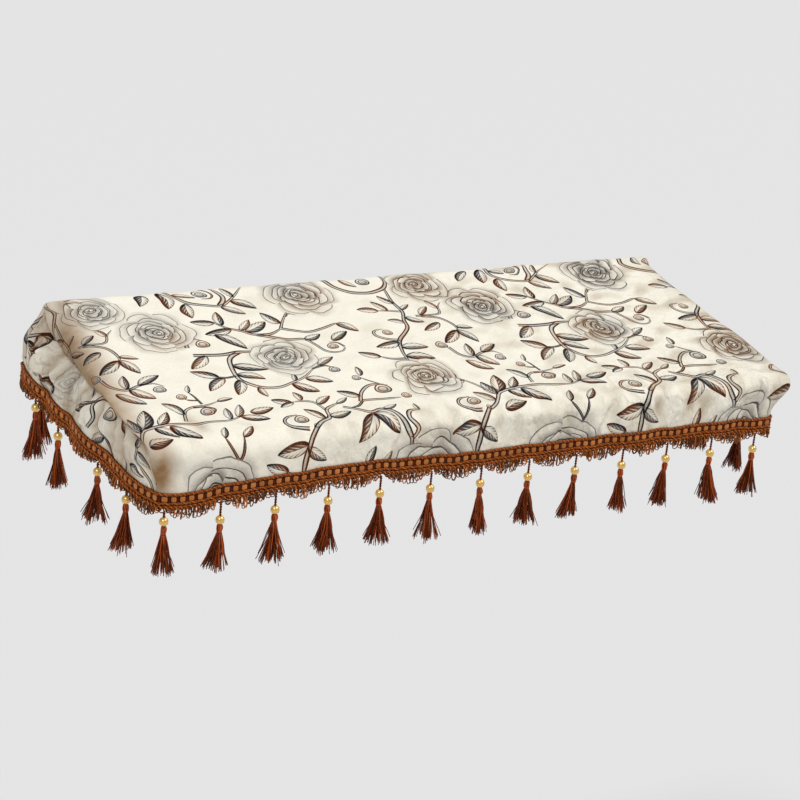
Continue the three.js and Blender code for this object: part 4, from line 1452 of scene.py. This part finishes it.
def cord_of(top):
    def away(hang):
        return math.dist((hang.x, hang.y), top[:2])
    nearest = min(SHORT_CORDS, key=away)
    return nearest.cord if away(nearest) < HANG_NEAR else LONG_CORD


def rounds(radius, angle, height):
    """Points at a distance from the middle of a tassel."""
    parts = np.broadcast_arrays(radius * np.cos(angle), radius * np.sin(angle), height)
    return np.stack(parts, axis=-1)


def make_tassel(name, top, index):
    chance = np.random.default_rng(TASSEL_SEED + index)
    trim = Trim()
    cord = cord_of(top)
    bead_z = -cord - BEAD
    head_z = bead_z - HEAD_END
    skirt = SKIRTS[index % len(SKIRTS)]

    t = np.linspace(0, 1, PLY_RINGS)
    turn = np.array([[0.0], [math.pi]]) + 2 * math.pi * cord / PLY_PITCH * t
    plies = rounds(PLY_OUT, turn, PLY_TOP - (cord + PLY_IN_BEAD) * t)
    trim.add_tubes(CORD_TUBE, plies, PLY_RADIUS, (1, 0, 0), PLY_TONES)
    trim.add(BEAD_BALL, points_of(BEAD_BALL) * BEAD + (0, 0, bead_z), 1, 0.5)

    share = np.linspace(0, 1, STRAND_RINGS)
    around = np.linspace(0, 2 * math.pi, HEAD_YARNS, endpoint=False)[:, None] + chance.uniform(0, 1)
    wide = HEAD_NECK + HEAD_BULGE * np.sin(math.pi * share) ** HEAD_FULLNESS + HEAD_FLARE * share
    wide = wide * chance.uniform(0.8, 1.2, (HEAD_YARNS, 1))
    head = rounds(wide, around + share, bead_z - HEAD_START - (HEAD_END - HEAD_START) * share)
    tones = chance.uniform(0.2, 1, HEAD_YARNS)
    trim.add_tubes(STRAND_TUBE, head, HEAD_YARN_RADIUS, (0.6, 0.5, 0.3), tones)

    ties = rounds(TIE_OUT, 2 * math.pi * t, head_z + np.array(TIE_HEIGHTS)[:, None])
    trim.add_tubes(CORD_TUBE, ties, TIE_RADIUS, (0, 0, 1), TIE_TONES)

    clump = chance.integers(0, CLUMPS, STRANDS)
    angles = chance.uniform(0, 2 * math.pi, CLUMPS)
    reach = skirt.radius * np.sqrt(chance.uniform(0.03, 1, CLUMPS))
    ends = np.stack([reach * np.cos(angles), reach * np.sin(angles)], axis=-1)[clump]
    ends = ends + chance.normal(0, CLUMP_SCATTER, (STRANDS, 2)) + chance.normal(0, SKIRT_SWAY, 2)
    roots = ends * np.minimum(ROOT_SHARE, ROOT_RADIUS / np.linalg.norm(ends, axis=1))[:, None]
    length = skirt.length * chance.uniform(0.84, 1.03, (STRANDS, 1))
    wave = chance.normal(0, STRAND_WAVE, (STRANDS, 2, 1)) * np.sin(STRAND_BENDS * math.pi * share)
    beside = lerp(roots[..., None], ends[..., None], share ** SKIRT_FLARE) + wave
    drop = head_z + SKIRT_IN_HEAD - (length + SKIRT_IN_HEAD) * share
    hair = np.stack([beside[:, 0], beside[:, 1], drop], axis=-1)
    tones = chance.uniform(0, 1, STRANDS) ** STRAND_DARKNESS
    trim.add_tubes(STRAND_TUBE, hair, lerp(*STRAND_RADII, share), (0.6, 0.5, 0.1), tones)

    made = name.replace("tassel", "beaded_tassel")
    return trim.finish(made, ("tassel", "pearl"), "tassel", name, at=top)


tops = tassel_tops()
braid = make_braid()
fringe = make_fringe(tops)
tassels = [make_tassel(name, top, index) for index, (name, top) in enumerate(sorted(tops.items()))]


# Camera at the photo's view: focal length in pixels, turns, the point that it turns about, and
# its place from there to the right, up and back, in metres.
FOCAL = 2191.5
PHOTO_WIDTH = 800
SENSOR = 36
YAW, PITCH, ROLL = math.radians(30.29), math.radians(20.97), math.radians(-5.69)
CAMERA_PIVOT = (0, 0, 0.0256)
CAMERA_PLACE = (-0.0392, -0.1057, 2.9766)
SIGHT = 60


def add_camera():
    data = bpy.data.cameras.new("camera")
    data.sensor_width = SENSOR
    data.lens = FOCAL * SENSOR / PHOTO_WIDTH
    data.clip_end = SIGHT
    camera = add_object("camera", data)
    matrix = Matrix.Translation(CAMERA_PIVOT)
    for angle, axis in ((-YAW, "Z"), (math.pi / 2 - PITCH, "X"), (-ROLL, "Z")):
        matrix = matrix @ Matrix.Rotation(angle, 4, axis)
    camera.matrix_world = matrix @ Matrix.Translation(CAMERA_PLACE)
    bpy.context.scene.camera = camera


def add_sun(name, energy, turn, softness):
    data = bpy.data.lights.new(name, "SUN")
    data.energy = energy
    data.angle = math.radians(softness)
    add_object(name, data).rotation_euler = [math.radians(angle) for angle in turn]


# Floor in metres, far enough below that no shadow on it shows.
FLOOR_Z = -1.9
FLOOR_HALF = 25
SKY = 0.36


def add_studio():
    floor = add_object("floor", shape_mesh(
        "floor", bmesh.ops.create_grid, x_segments=1, y_segments=1, size=FLOOR_HALF,
        matrix=Matrix.Translation((0, 0, FLOOR_Z)),
    ))
    look = Look("pale floor", Base_Color=colour("DEDEDE"), Roughness=1.0)
    floor.data.materials.append(look.material)
    add_sun("key", 1.75, (14, 36, 0), 25)
    add_sun("fill", 1.15, (25, -36, 0), 8)
    world = bpy.data.worlds.new("studio")
    world.use_nodes = True
    background = world.node_tree.nodes["Background"]
    background.inputs["Color"].default_value = (1, 1, 1, 1)
    background.inputs["Strength"].default_value = SKY
    bpy.context.scene.world = world
    bpy.context.scene.view_settings.view_transform = "Standard"


add_camera()
add_studio()
